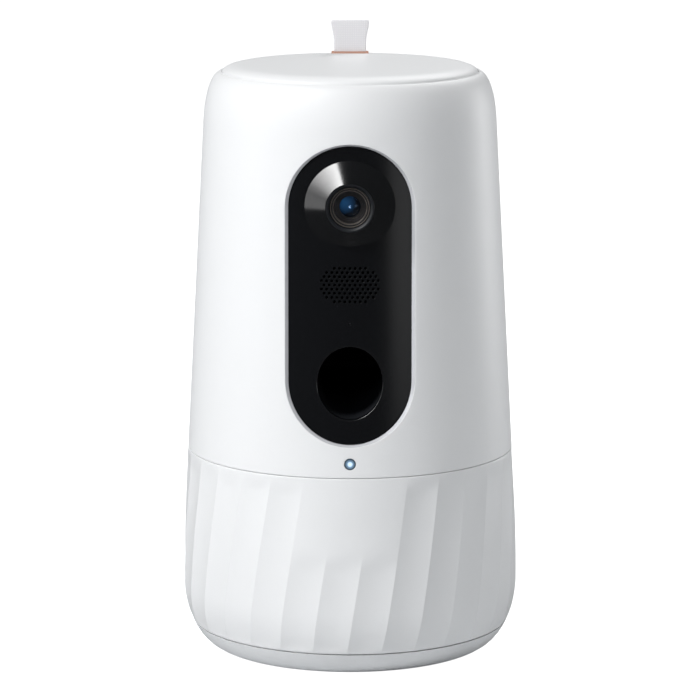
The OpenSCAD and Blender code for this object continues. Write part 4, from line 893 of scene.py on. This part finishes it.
@dataclass
class FrontPanel:
    """The curved black panel with its grille, microphone hole, treat outlet and lens opening."""

    half_width: float = OPENING.half_width
    inset: float = OPENING.inset
    thickness: float = 2 * MM
    edge_r: float = 0.25 * MM
    lens_hole_r: float = 13.5 * MM
    outlet_z: float = 127.2 * MM
    outlet_hw: float = 13.6 * MM        # half of the outlet's width
    outlet_hh: float = 15.3 * MM        # half of its height
    lip_w: float = 0.8 * MM             # of the polished ring in the outlet
    lip_r: float = 0.7 * MM
    lip_fit: float = 0.02 * MM
    lip_steps: int = 160
    grille_z: float = 168.6 * MM
    pitch: float = 2.16 * MM            # of the grille's holes, across
    row_h: float = 1.74 * MM
    hole_r: float = 0.6 * MM
    hole_edge: float = 0.08 * MM
    grille_rows: tuple[int, ...] = (7, 10, 11, 12, 11, 12, 11, 10, 7)
    mic_z: float = 152.4 * MM
    mic_r: float = 0.45 * MM
    low_line: float = 144.6 * MM        # between the outlet's end and the straight middle
    high_line: float = 180.8 * MM       # between the middle and the lens end
    cell_steps: int = 4                 # along each side of a small hole's cell
    fill_steps: tuple[int, int, int] = (4, 5, 3)    # rows under the microphone, above it, above the grille
    arc_steps: int = 64
    side_steps: int = 14
    face_steps: int = 10                # loops around a large hole, on the face and on the back
    back_steps: int = 2

    def columns(self, half_width: float) -> np.ndarray:
        """Grid lines across: quarters of the hole pitch, and the panel's two edges.

        Args:
            half_width: place of the right edge.

        Returns:
            Places from left to right.
        """
        line = self.pitch / self.cell_steps
        count = int((self.half_width - self.edge_r) / line)
        return np.concatenate([[-half_width], np.arange(-count, count + 1) * line, [half_width]])

    def rows(self) -> np.ndarray:
        """Grid lines up: quarters of a row at the holes, wider ones elsewhere.

        Returns:
            Heights from the outlet's end up to the lens end.
        """
        count = len(self.grille_rows)
        block, mic = count * self.row_h / 2, self.row_h / 2
        below, above, upper = self.fill_steps
        return joined(between(self.low_line, self.mic_z - mic, below),
                      between(self.mic_z - mic, self.mic_z + mic, self.cell_steps),
                      between(self.mic_z + mic, self.grille_z - block, above),
                      between(self.grille_z - block, self.grille_z + block, self.cell_steps * count),
                      between(self.grille_z + block, self.high_line, upper))

    def hole_centres(self) -> np.ndarray:
        """Centres of the small holes: rows of the grille with holes one pitch apart, each row centred.

        Returns:
            Points x, z, of which the microphone's is the last.
        """
        middle = (len(self.grille_rows) - 1) / 2
        rows = [np.stack(np.broadcast_arrays((np.arange(n) - (n - 1) / 2) * self.pitch,
                                             self.grille_z + (middle - i) * self.row_h), -1)
                for i, n in enumerate(self.grille_rows)]
        return np.concatenate([*rows, [[0, self.mic_z]]])

    def end_loop(self, half_width: float, upper: bool) -> np.ndarray:
        """Rim of one end of the panel: the grid line across, then round the end and back to its start.

        Args:
            half_width: half of the width of this loop.
            upper: whether it is the lens end or the outlet end.

        Returns:
            Points x, z.
        """
        x = self.columns(half_width)
        line, centre, sign = (self.high_line, OPENING.high, 1) if upper else (self.low_line, OPENING.low, -1)
        up = between(line, centre, self.side_steps)
        turn = between(0, math.pi, self.arc_steps)
        return np.concatenate([
            np.stack(np.broadcast_arrays(x[:-1], line), -1),
            np.stack(np.broadcast_arrays(half_width, up[:-1]), -1),
            np.stack([half_width * np.cos(turn), centre + sign * half_width * np.sin(turn)], -1)[:-1],
            np.stack(np.broadcast_arrays(-half_width, up[:0:-1]), -1)])

    def end(self, cloth: Patchwork, upper: bool) -> None:
        """Fills one end of the panel round its large hole, front, hole wall and back.

        Args:
            cloth: patchwork that the end joins.
            upper: whether it is the lens end or the outlet end.
        """
        face = self.end_loop(self.half_width - self.edge_r, upper)
        back = self.end_loop(self.half_width, upper)
        centre = np.array([0, LENS_Z if upper else self.outlet_z])
        wide = self.lens_hole_r if upper else self.outlet_hw + self.lip_w
        tall = self.lens_hole_r if upper else self.outlet_hh + self.lip_w
        away = face - centre
        angle = np.arctan2(away[:, 1] / tall, away[:, 0] / wide)
        hole = centre + [wide, tall] * np.stack([np.cos(angle), np.sin(angle)], -1)
        outer = grid_between(face, hole, self.face_steps)
        inner = grid_between(back, hole, self.back_steps)[::-1]
        places = np.concatenate([outer, inner])
        depth = np.concatenate([np.zeros(len(outer)), np.full(len(inner), self.thickness)])
        cloth.add(OUTLINE.front(places[..., 0], places[..., 1], self.inset + depth[:, None]), round_cols=True)

    def small_holes(self, cloth: Patchwork) -> None:
        """Fills the cells of the grille and the microphone, each a rectangle with a round hole.

        Args:
            cloth: patchwork that the cells join.
        """
        centres = self.hole_centres()
        share = between(-0.5, 0.5, self.cell_steps)
        cell = window_loop(share * self.pitch, share * self.row_h)
        radius = np.append(np.full(len(centres) - 1, self.hole_r), self.mic_r)[:, None, None]
        unit = circle_loop(1.0, self.cell_steps, self.cell_steps)
        cells = np.broadcast_to(cell, (len(centres), *cell.shape))
        loops = np.stack([cells, unit * (radius + self.hole_edge), unit * radius, unit * radius, cells], 1)
        places = loops + centres[:, None, None]
        depth = np.array([0, 0, self.hole_edge, self.thickness, self.thickness])[:, None]
        cloth.add(OUTLINE.front(places[..., 0], places[..., 1], self.inset + depth), round_cols=True)

    def rim(self, cloth: Patchwork) -> None:
        """Carries the rounded outer edge round the whole panel, from the face to the back.

        Args:
            cloth: patchwork that the edge joins.
        """
        profile = np.concatenate([rounded(self.edge_r), [[0, self.thickness]]])
        loops = []
        for inward in profile[:, 0]:
            half = self.half_width - inward
            low_end = self.end_loop(half, False)
            high_end = self.end_loop(half, True)
            across = len(self.columns(half)) - 1
            up = np.stack(np.broadcast_arrays(half, self.rows()), -1)
            down = up[::-1] * [-1, 1]
            loops.append(np.concatenate([up[:-1], high_end[across:], down, low_end[across:][::-1][:-1]]))
        places = np.array(loops)
        cloth.add(OUTLINE.front(places[..., 0], places[..., 1], self.inset + profile[:, 1:]), round_cols=True)

    def outlet_lip(self) -> None:
        """Builds the polished ring in the outlet: a closed profile carried round the oval."""
        outside = self.lip_w - self.lip_fit
        profile = np.concatenate([[[outside, self.thickness], [outside, 0]], rounded(self.lip_r, 6),
                                  [[0, self.thickness]]])
        angle = between(0, 2 * math.pi, self.lip_steps)[:-1]
        x = (self.outlet_hw + profile[:, :1]) * np.cos(angle)
        z = self.outlet_z + (self.outlet_hh + profile[:, :1]) * np.sin(angle)
        cloth = one_grid(OUTLINE.front(x, z, self.inset + profile[:, 1:]))
        place_piece("outlet_lip", cloth, BEZEL_PC, "head")

    def build(self) -> bpy.types.Object:
        """Builds the panel from its middle lattice, its two ends, its small holes and its rim, and the lip.

        Returns:
            The piece.
        """
        cloth = Patchwork()
        rows = self.rows()
        centres = self.hole_centres()
        mid_z = (rows[1:] + rows[:-1]) / 2
        for half, depth in ((self.half_width - self.edge_r, 0.0), (self.half_width, self.thickness)):
            x = self.columns(half)
            mid_x = (x[1:] + x[:-1]) / 2
            near = (np.abs(mid_x[None, :, None] - centres[:, 0]) < self.pitch / 2) & (
                np.abs(mid_z[:, None, None] - centres[:, 1]) < self.row_h / 2)
            cloth.add(OUTLINE.front(x[None], rows[:, None], self.inset + depth), keep=~near.any(-1))
        self.end(cloth, True)
        self.end(cloth, False)
        self.small_holes(cloth)
        self.rim(cloth)
        self.outlet_lip()
        return place_piece("camera_panel", cloth, PANEL_PC, "head", ("front_panel",), 40)


@dataclass
class LensBezel:
    """The polished cone around the lens, which ends on the curved panel."""

    inset: float = OPENING.inset
    proud: float = 6 * MM
    front_r: float = 10.2 * MM
    root_r: float = 17.8 * MM
    wide_r: float = 18.9 * MM           # the most that the cone's foot reaches
    tube_r: float = 13.4 * MM
    bore_r: float = 8.55 * MM
    length: float = 8 * MM              # of the tube behind the panel's face
    mouth_w: float = 0.12 * MM          # from the cone's front edge to the matt mouth ring
    lip: float = 0.6 * MM
    lip_drop: float = 0.9 * MM
    gap: float = 0.03 * MM
    edge_r: float = 0.3 * MM
    columns: int = 192
    foot_turns: int = 12
    cone_steps: int = 12
    foot_steps: int = 3

    @property
    def face(self) -> float:
        """Distance of the panel's face from the centre, at the lens."""
        return float(OUTLINE.radius(LENS_Z)) - self.inset

    @property
    def front(self) -> float:
        """Distance of the cone's front edge from the centre."""
        return self.face + self.proud

    def panel(self, radius: np.ndarray, angle: np.ndarray) -> np.ndarray:
        """How far forward the panel's face lies at a radius and an angle about the lens axis."""
        x, z = radius * np.cos(angle), LENS_Z + radius * np.sin(angle)
        return np.sqrt((OUTLINE.radius(z) - self.inset) ** 2 - x * x) + self.gap

    def build(self) -> bpy.types.Object:
        """Builds the cone as a profile carried round, whose foot follows the panel.

        The foot is found by turns: from the panel's place at the last radius, the cone gives the next one.

        Returns:
            The piece.
        """
        angle = between(0, 2 * math.pi, self.columns)[:-1]
        slope = (self.root_r - self.front_r) / self.proud
        foot = np.full(self.columns, self.root_r)
        for _ in range(self.foot_turns):
            foot = np.minimum(self.wide_r, self.root_r + slope * (self.face - self.panel(foot, angle)))
        foot_way = self.face + (self.root_r - foot) / slope
        start = np.array([self.front_r + self.edge_r * slope * 2, self.front - self.edge_r * 2])
        inner_r, back = self.front_r - self.mouth_w, self.face - self.length
        corners = np.array([[inner_r, back], [inner_r, self.front], [self.front_r, self.front], start])
        mouth = softened(corners, self.edge_r)[:, :, None] + np.zeros(self.columns)
        first = start + np.zeros((self.columns, 2))
        cone = grid_between(first, np.stack([foot, foot_way], -1), self.cone_steps)
        down = grid_between(cone[-1], np.stack([foot, self.panel(foot, angle)], -1), self.foot_steps)
        inward = foot + (self.tube_r - foot) * between(0, 1, self.foot_steps)[1:, None]
        under = np.stack([inward, self.panel(inward, angle)], 1)
        tube = np.array([[self.tube_r, back]])[:, :, None] + np.zeros(self.columns)
        rows = np.concatenate([mouth, cone[1:].transpose(0, 2, 1), down[1:].transpose(0, 2, 1), under, tube])
        radius, way = rows[:, 0], rows[:, 1]
        cloth = one_grid(np.stack([radius * np.cos(angle), -way, LENS_Z + radius * np.sin(angle)], -1))
        self.mouth_ring(inner_r - self.gap)
        return place_piece("lens_cone", cloth, BEZEL_PC, "head", ("lens_bezel",))

    def mouth_ring(self, outer_r: float) -> None:
        """Builds the matt ring in the cone's mouth, which is chamfered towards the lens.

        Args:
            outer_r: its outer radius.
        """
        back, edge = self.face - self.length, self.front - self.gap
        corners = np.array([[outer_r, back], [self.bore_r, back], [self.bore_r, edge - self.lip_drop],
                            [outer_r - self.lip, edge], [outer_r, edge]])
        cloth = one_grid(facing_front(turned(softened(corners, self.edge_r / 2), self.columns), LENS_Z))
        place_piece("lens_mouth_ring", cloth, DUCT_ABS, "head")


@dataclass(frozen=True)
class RingSizes:
    """Section of a ring whose two upper edges are cut slantwise."""

    outer_r: float
    inner_r: float
    low: float                          # distances in front of the barrel's front
    high: float
    outer_cut: tuple[float, float]      # width and height
    inner_cut: tuple[float, float]
    reach: float                        # of the rounding at its corners

    def profile(self) -> np.ndarray:
        """Walks up the outside, across the top between the two cuts and down the inside.

        Returns:
            Radius and distance, of shape (count, 2).
        """
        corners = np.array([
            [self.outer_r, self.low], [self.outer_r, self.high - self.outer_cut[1]],
            [self.outer_r - self.outer_cut[0], self.high], [self.inner_r + self.inner_cut[0], self.high],
            [self.inner_r, self.high - self.inner_cut[1]], [self.inner_r, self.low]]) * MM
        return softened(corners, self.reach * MM)


@dataclass
class Lens:
    """The lens in the cone: its barrel with stepped rings, the coated element and the front glass.

    Radii go with distances in front of the barrel's front.
    """

    front: float                        # distance of the barrel's front from the centre
    barrel_mm: tuple[tuple[float, float], ...] = (
        (0, -19), (8.3, -19), (8.3, -0.5), (7.4, -0.5), (7.4, -2.4), (6.9, -2.4), (6.9, -4.4), (4.5, -4.4),
        (4.5, -5.4), (0, -5.4))
    barrel_soft: float = 0.12 * MM
    rim: RingSizes = RingSizes(8.3, 7.85, -0.48, 0, (0.15, 0.2), (0.1, 0.2), 0.05)          # in mm
    retainer: RingSizes = RingSizes(7.3, 6.86, -2.3, -0.55, (0.1, 0.2), (0.14, 0.25), 0.08)  # in mm
    seat_mm: tuple[tuple[float, float], ...] = (
        (6.8, -4.3), (6.8, -2.5), (6.2, -2.65), (6.15, -2.9), (5.4, -3.05), (5.35, -3.3), (4.5, -3.5),
        (4.5, -4.3))
    seat_soft: float = 0.06 * MM
    glass_r: float = 6.75 * MM
    glass_low: float = 2.15 * MM        # depths under the barrel's front
    glass_edge: float = 1.7 * MM
    glass_top: float = 1.15 * MM
    pupil_r: float = 4.35 * MM
    pupil_back: float = 5.3 * MM
    pupil_low: float = 4.3 * MM
    pupil_rise: float = 1.5 * MM
    dome_steps: int = 16
    steps: int = 128

    def ring(self, name: str, profile: np.ndarray, finish: Finish, nodes: tuple[str, ...] = (),
             closed: bool = True) -> bpy.types.Object:
        """Turns a profile about the lens axis and places it.

        Args:
            name: name of the piece.
            profile: radius and distance in front of the barrel's front, of shape (count, 2).
            finish: its material.
            nodes: CAD nodes that it stands for.
            closed: whether the profile's end joins its start.

        Returns:
            The piece.
        """
        points = facing_front(turned(profile + [0, self.front], self.steps), LENS_Z)
        return place_piece(name, one_grid(points, closed), finish, "head", nodes)

    def dome(self, radius: float, back: float, low: float, rise: float) -> np.ndarray:
        """Profile of a glass disc whose front is a parabola over its radius.

        Args:
            radius: its radius.
            back: depth of its flat back.
            low: depth of its front's edge.
            rise: height of its front's middle above the edge.

        Returns:
            Radius and distance, of shape (count, 2).
        """
        share = between(0, 1, self.dome_steps)
        cap = np.stack([radius * (1 - share), rise * (1 - (1 - share) ** 2) - low], -1)
        return np.concatenate([[[0, -back], [radius, -back]], cap])

    def build(self) -> bpy.types.Object:
        """Builds the barrel, the two bright rings, the stepped seat, the inner element and the front glass.

        Returns:
            The barrel.
        """
        barrel = softened(np.array(self.barrel_mm) * MM, self.barrel_soft)
        body = self.ring("lens_barrel_rings", barrel, LENS_RING, ("lens_barrel",), closed=False)
        self.ring("lens_rim", self.rim.profile(), RETAINER)
        self.ring("lens_retainer", self.retainer.profile(), RETAINER)
        seat = softened(np.array(self.seat_mm) * MM, self.seat_soft)
        self.ring("lens_seat", seat, LENS_SEAT)
        element = self.dome(self.pupil_r, self.pupil_back, self.pupil_low, self.pupil_rise)
        # The inner element's colour carries a painted highlight: bright blue at its upper left, fading to
        # dark.
        self.ring("lens_inner_element", element, PUPIL_PAINTED_HIGHLIGHT, closed=False)
        glass = self.dome(self.glass_r, self.glass_low, self.glass_edge, self.glass_edge - self.glass_top)
        self.ring("lens_front_glass", glass, FRONT_GLASS, ("lens_glass",), closed=False)
        return body


@dataclass
class Lid:
    """The crowned lid and the tape loop that lifts it."""

    low_z: float
    top_z: float
    edge_z: float = 251.0 * MM
    edge_in: float = 0.75 * MM          # from the housing's rim in to the lid
    edge_drop: float = 0.15 * MM        # from the shoulder's end down to where the rim is measured
    round_w: float = 8 * MM
    dome: float = 0.4 * MM
    wall: float = WALL
    lower_edge_r: float = 0.5 * MM
    steps: int = 240
    round_steps: int = 20
    dome_steps: int = 16
    tab_y: float = 44.6 * MM
    tape_t: float = 0.72 * MM
    tape_gap: float = 0.1 * MM
    root_hw: float = 7.15 * MM
    top_hw: float = 8.45 * MM
    tab_h: float = 14.6 * MM
    tab_gap: float = 0.12 * MM
    spread_low: float = 0.35            # share of the height where the tape starts to widen
    spread_h: float = 0.6               # share in which it does
    side_power: float = 0.35            # below 1, the tape's section is squarer than an ellipse
    face_power: float = 0.5
    rise_steps: int = 24
    turn_steps: int = 10
    around_steps: int = 48

    def shell(self, outer_r: float, depth: float) -> np.ndarray:
        """Profile of the cap: a quarter ellipse up from the edge, then a parabola to the middle.

        Args:
            outer_r: radius of the cap.
            depth: depth below its surface.

        Returns:
            Radius and height, from the edge to the middle.
        """
        turn = between(0, math.pi / 2, self.round_steps)
        crown_z, flat_r = self.top_z - self.dome, outer_r - depth - self.round_w
        side = np.stack([outer_r - depth - self.round_w * (1 - np.cos(turn)),
                         self.edge_z - depth + (crown_z - self.edge_z) * np.sin(turn)], -1)
        share = between(1, 0, self.dome_steps)[1:]
        middle = np.stack([flat_r * share, crown_z - depth + self.dome * (1 - share ** 2)], -1)
        return np.concatenate([side, middle])

    def cap(self) -> bpy.types.Object:
        """Builds the cap: its surface, its lower edge and its inside, turned about the Z axis.

        Returns:
            The piece.
        """
        rim_z = OUTLINE.shoulder_z + OUTLINE.shoulder_h - self.edge_drop
        outer_r = float(OUTLINE.radius(rim_z)) - self.edge_in
        edge = rounded(self.lower_edge_r)[::-1]
        lower = np.stack([outer_r - edge[:, 1], self.low_z + edge[:, 0]], -1)
        profile = np.concatenate([[[outer_r - self.wall, self.low_z]], lower, self.shell(outer_r, 0.0),
                                  self.shell(outer_r, self.wall)[::-1]])
        cloth = one_grid(turned(profile, self.steps))
        return place_piece("lid_cap_shell", cloth, HOUSING_ABS, "lid", ("lid_cap",), 32)

    def tab(self) -> bpy.types.Object:
        """Builds the tape loop: a flat tape that goes up, turns over a small round and comes down again.

        Its width grows smoothly from the root to the top. Across, the tape is a long oval with square
        sides, so that its edge is soft.

        Returns:
            The piece.
        """
        bend_r = (self.tape_t + self.tape_gap) / 2
        base_z = self.top_z - self.dome + self.tab_gap
        straight = self.tab_h - bend_r - self.tape_t / 2
        rise = between(0, straight, self.rise_steps)
        level, ones = np.zeros(len(rise)), np.ones(len(rise))
        turn = between(0, math.pi, self.turn_steps)[1:-1]
        out_y = np.concatenate([-ones, -np.cos(turn), ones])
        out_z = np.concatenate([level, np.sin(turn), level])
        way_y = bend_r * out_y
        way_z = np.concatenate([rise, straight + bend_r * np.sin(turn), rise[::-1]])
        widening = smooth((way_z / self.tab_h - self.spread_low) / self.spread_h)
        half_w = self.root_hw + (self.top_hw - self.root_hw) * widening
        around = between(0, 2 * math.pi, self.around_steps)[:-1]
        across = np.sign(np.cos(around)) * np.abs(np.cos(around)) ** self.side_power
        through = np.sign(np.sin(around)) * np.abs(np.sin(around)) ** self.face_power * self.tape_t / 2
        x = half_w[:, None] * across
        y = self.tab_y + way_y[:, None] + out_y[:, None] * through
        z = base_z + way_z[:, None] + out_z[:, None] * through
        loops = np.stack([x, y, z], -1)
        ends = loops.copy()
        ends[..., 1] = self.tab_y + way_y[:, None]
        cloth = one_grid(np.concatenate([ends[:1], loops, ends[-1:]]), closed=False)
        piece = place_piece("tape_loop", cloth, TAB_TAPE, "lid", ("pull_tab",), 50)
        return piece

    def build(self) -> bpy.types.Object:
        """Builds the cap and the tape loop.

        Returns:
            The cap.
        """
        self.tab()
        return self.cap()


def dress_cad_nodes() -> None:
    """Gives each CAD node that stays in view its finish, and smooth shading between its sharp edges."""
    slots = {part["node"]: part["material_slot"] for part in frame["record"]["subparts"]}
    for name, node in frame["nodes"].items():
        node.data.materials.clear()
        node.data.materials.append(SLOT_FINISH[slots[name]].material())
        weld = node.modifiers.new("weld", "WELD")
        weld.merge_threshold = WELD
        split = node.modifiers.new("sharp_edges", "EDGE_SPLIT")
        split.split_angle = math.radians(SHARP_DEGREES)
        node.data.shade_smooth()


# Studio

@dataclass(frozen=True)
class SoftLight:
    """A rectangular studio lamp that looks at the object."""

    name: str
    azimuth: float                      # degrees from the front, to the right
    elevation: float                    # degrees above the horizon
    distance: float                     # metres, as the width and the height
    width: float
    height: float
    watts: float
    aim: float = 0.14                   # height that it looks at
    roll: float = 0.0                   # degrees that its upper end leans to the left, seen from behind it
    graded: bool = False                # whether it fades from its upper end down
    mirrored: bool = True               # whether gloss shows it
    receiver: str = ""                  # the one piece that it lights, where it isn't all of them

    def build(self) -> None:
        """Adds the lamp at its azimuth and elevation, turned to the object."""
        lamp = bpy.data.lights.new(self.name, "AREA")
        lamp.shape = "RECTANGLE"
        lamp.size = self.width
        lamp.size_y = self.height
        lamp.energy = self.watts
        holder = bpy.data.objects.new(self.name, lamp)
        bpy.context.scene.collection.objects.link(holder)
        turn, lift = math.radians(self.azimuth), math.radians(self.elevation)
        flat = self.distance * math.cos(lift)
        height = self.aim + self.distance * math.sin(lift)
        holder.location = (flat * math.sin(turn), -flat * math.cos(turn), height)
        turns = (Matrix.Rotation(turn, 3, "Z") @ Matrix.Rotation(math.pi / 2 - lift, 3, "X")
                 @ Matrix.Rotation(math.radians(self.roll), 3, "Z"))
        holder.rotation_euler = turns.to_euler()
        if self.graded:
            lamp.use_nodes = True
            tree = lamp.node_tree
            place = add_node(tree, "ShaderNodeNewGeometry")
            parts = add_node(tree, "ShaderNodeSeparateXYZ", None, {0: place.outputs["Parametric"]})
            tree.links.new(parts.outputs["Y"], tree.nodes["Emission"].inputs["Strength"])
        holder.visible_glossy = self.mirrored
        if self.receiver:
            lit = bpy.data.collections.new(f"lit_by_{self.name}")
            lit.objects.link(bpy.data.objects[self.receiver])
            holder.light_linking.receiver_collection = lit


@dataclass(frozen=True)
class Studio:
    """Camera, pale floor and soft lights."""

    camera_place: tuple[float, float, float] = (0.0, -1.5473, 0.4188)
    camera_tilt: float = 10.608          # degrees below the horizon
    lens_mm: float = 185.6
    sensor_mm: float = 36.0
    far_limit: float = 50.0
    floor_half: float = 6.0
    world: str = "#f4f7fa"
    world_strength: float = 0.1
    lights: tuple[SoftLight, ...] = (           # name, azimuth, elevation, distance, width, height, watts
        SoftLight("key_strip", -59, 38, 2.6, 0.55, 2.6, 120.0, roll=-25, graded=True),
        SoftLight("left_card", -79, 5, 2.0, 0.6, 1.0, 4.2),
        SoftLight("front_fill", -15, 25, 2.4, 1.2, 0.67, 12.0, mirrored=False),
        SoftLight("right_card", 42, 0, 1.2, 0.5, 0.25, 0.8),
        SoftLight("top_back_light", 150, 48, 1.4, 0.8, 0.8, 7.2),
        SoftLight("right_rim_light", 122, 4, 1.2, 0.3, 0.6, 4.8),
        SoftLight("catch_light", 0, -8, 0.6, 0.12, 0.12, 1.4, 0.2, receiver="lens_inner_element"),
    )

    def floor(self) -> None:
        """Adds the pale floor, backlit like a light table, whose own light stays off the object."""
        half = self.floor_half
        mesh = bpy.data.meshes.new("floor")
        corners = [(-half, -half, 0), (half, -half, 0), (half, half, 0), (-half, half, 0)]
        mesh.from_pydata(corners, [], [(0, 1, 2, 3)])
        floor = bpy.data.objects.new("floor", mesh)
        bpy.context.scene.collection.objects.link(floor)
        mesh.materials.append(FLOOR_SHEET.material())
        receivers = bpy.data.collections.new("lit_by_the_floor")
        receivers.objects.link(floor)
        floor.light_linking.receiver_collection = receivers
        floor.visible_glossy = False

    def build(self) -> None:
        """Adds the camera, the floor, the lights and the pale surroundings."""
        scene = bpy.context.scene
        camera = bpy.data.cameras.new("camera")
        camera.lens = self.lens_mm
        camera.sensor_width = self.sensor_mm
        camera.clip_end = self.far_limit
        holder = bpy.data.objects.new("camera", camera)
        scene.collection.objects.link(holder)
        holder.location = self.camera_place
        holder.rotation_euler = (math.radians(90 - self.camera_tilt), 0, 0)
        scene.camera = holder
        scene.view_settings.view_transform = "Standard"
        self.floor()
        world = bpy.data.worlds.new("studio")
        world.use_nodes = True
        background = world.node_tree.nodes["Background"]
        background.inputs["Color"].default_value = linear(self.world)
        background.inputs["Strength"].default_value = self.world_strength
        scene.world = world
        for lamp in self.lights:
            lamp.build()


def main() -> None:
    """Builds every sub-assembly in turn, from the base up."""
    logging.basicConfig(level=logging.INFO, format="%(name)s: %(message)s")
    dress_cad_nodes()
    skirt_low, skirt_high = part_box("skirt")
    wall_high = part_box("upper_housing")[1]
    lid_low, lid_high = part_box("lid_cap")
    bezel = LensBezel()
    builders = [
        Skirt(low_z=skirt_low.z, high_z=skirt_high.z),
        UpperHousing(low_z=skirt_high.z + SEAM, high_z=wall_high.z),
        PanelFrame(),
        FrontPanel(),
        bezel,
        Lens(front=bezel.front - LENS_DROP),
        Lid(low_z=lid_low.z, top_z=lid_high.z),
    ]
    for builder in builders:
        piece = builder.build()
        log.info("%s: %d faces", piece.name, len(piece.data.polygons))
    Studio().build()


if __name__ == "__main__":
    main()
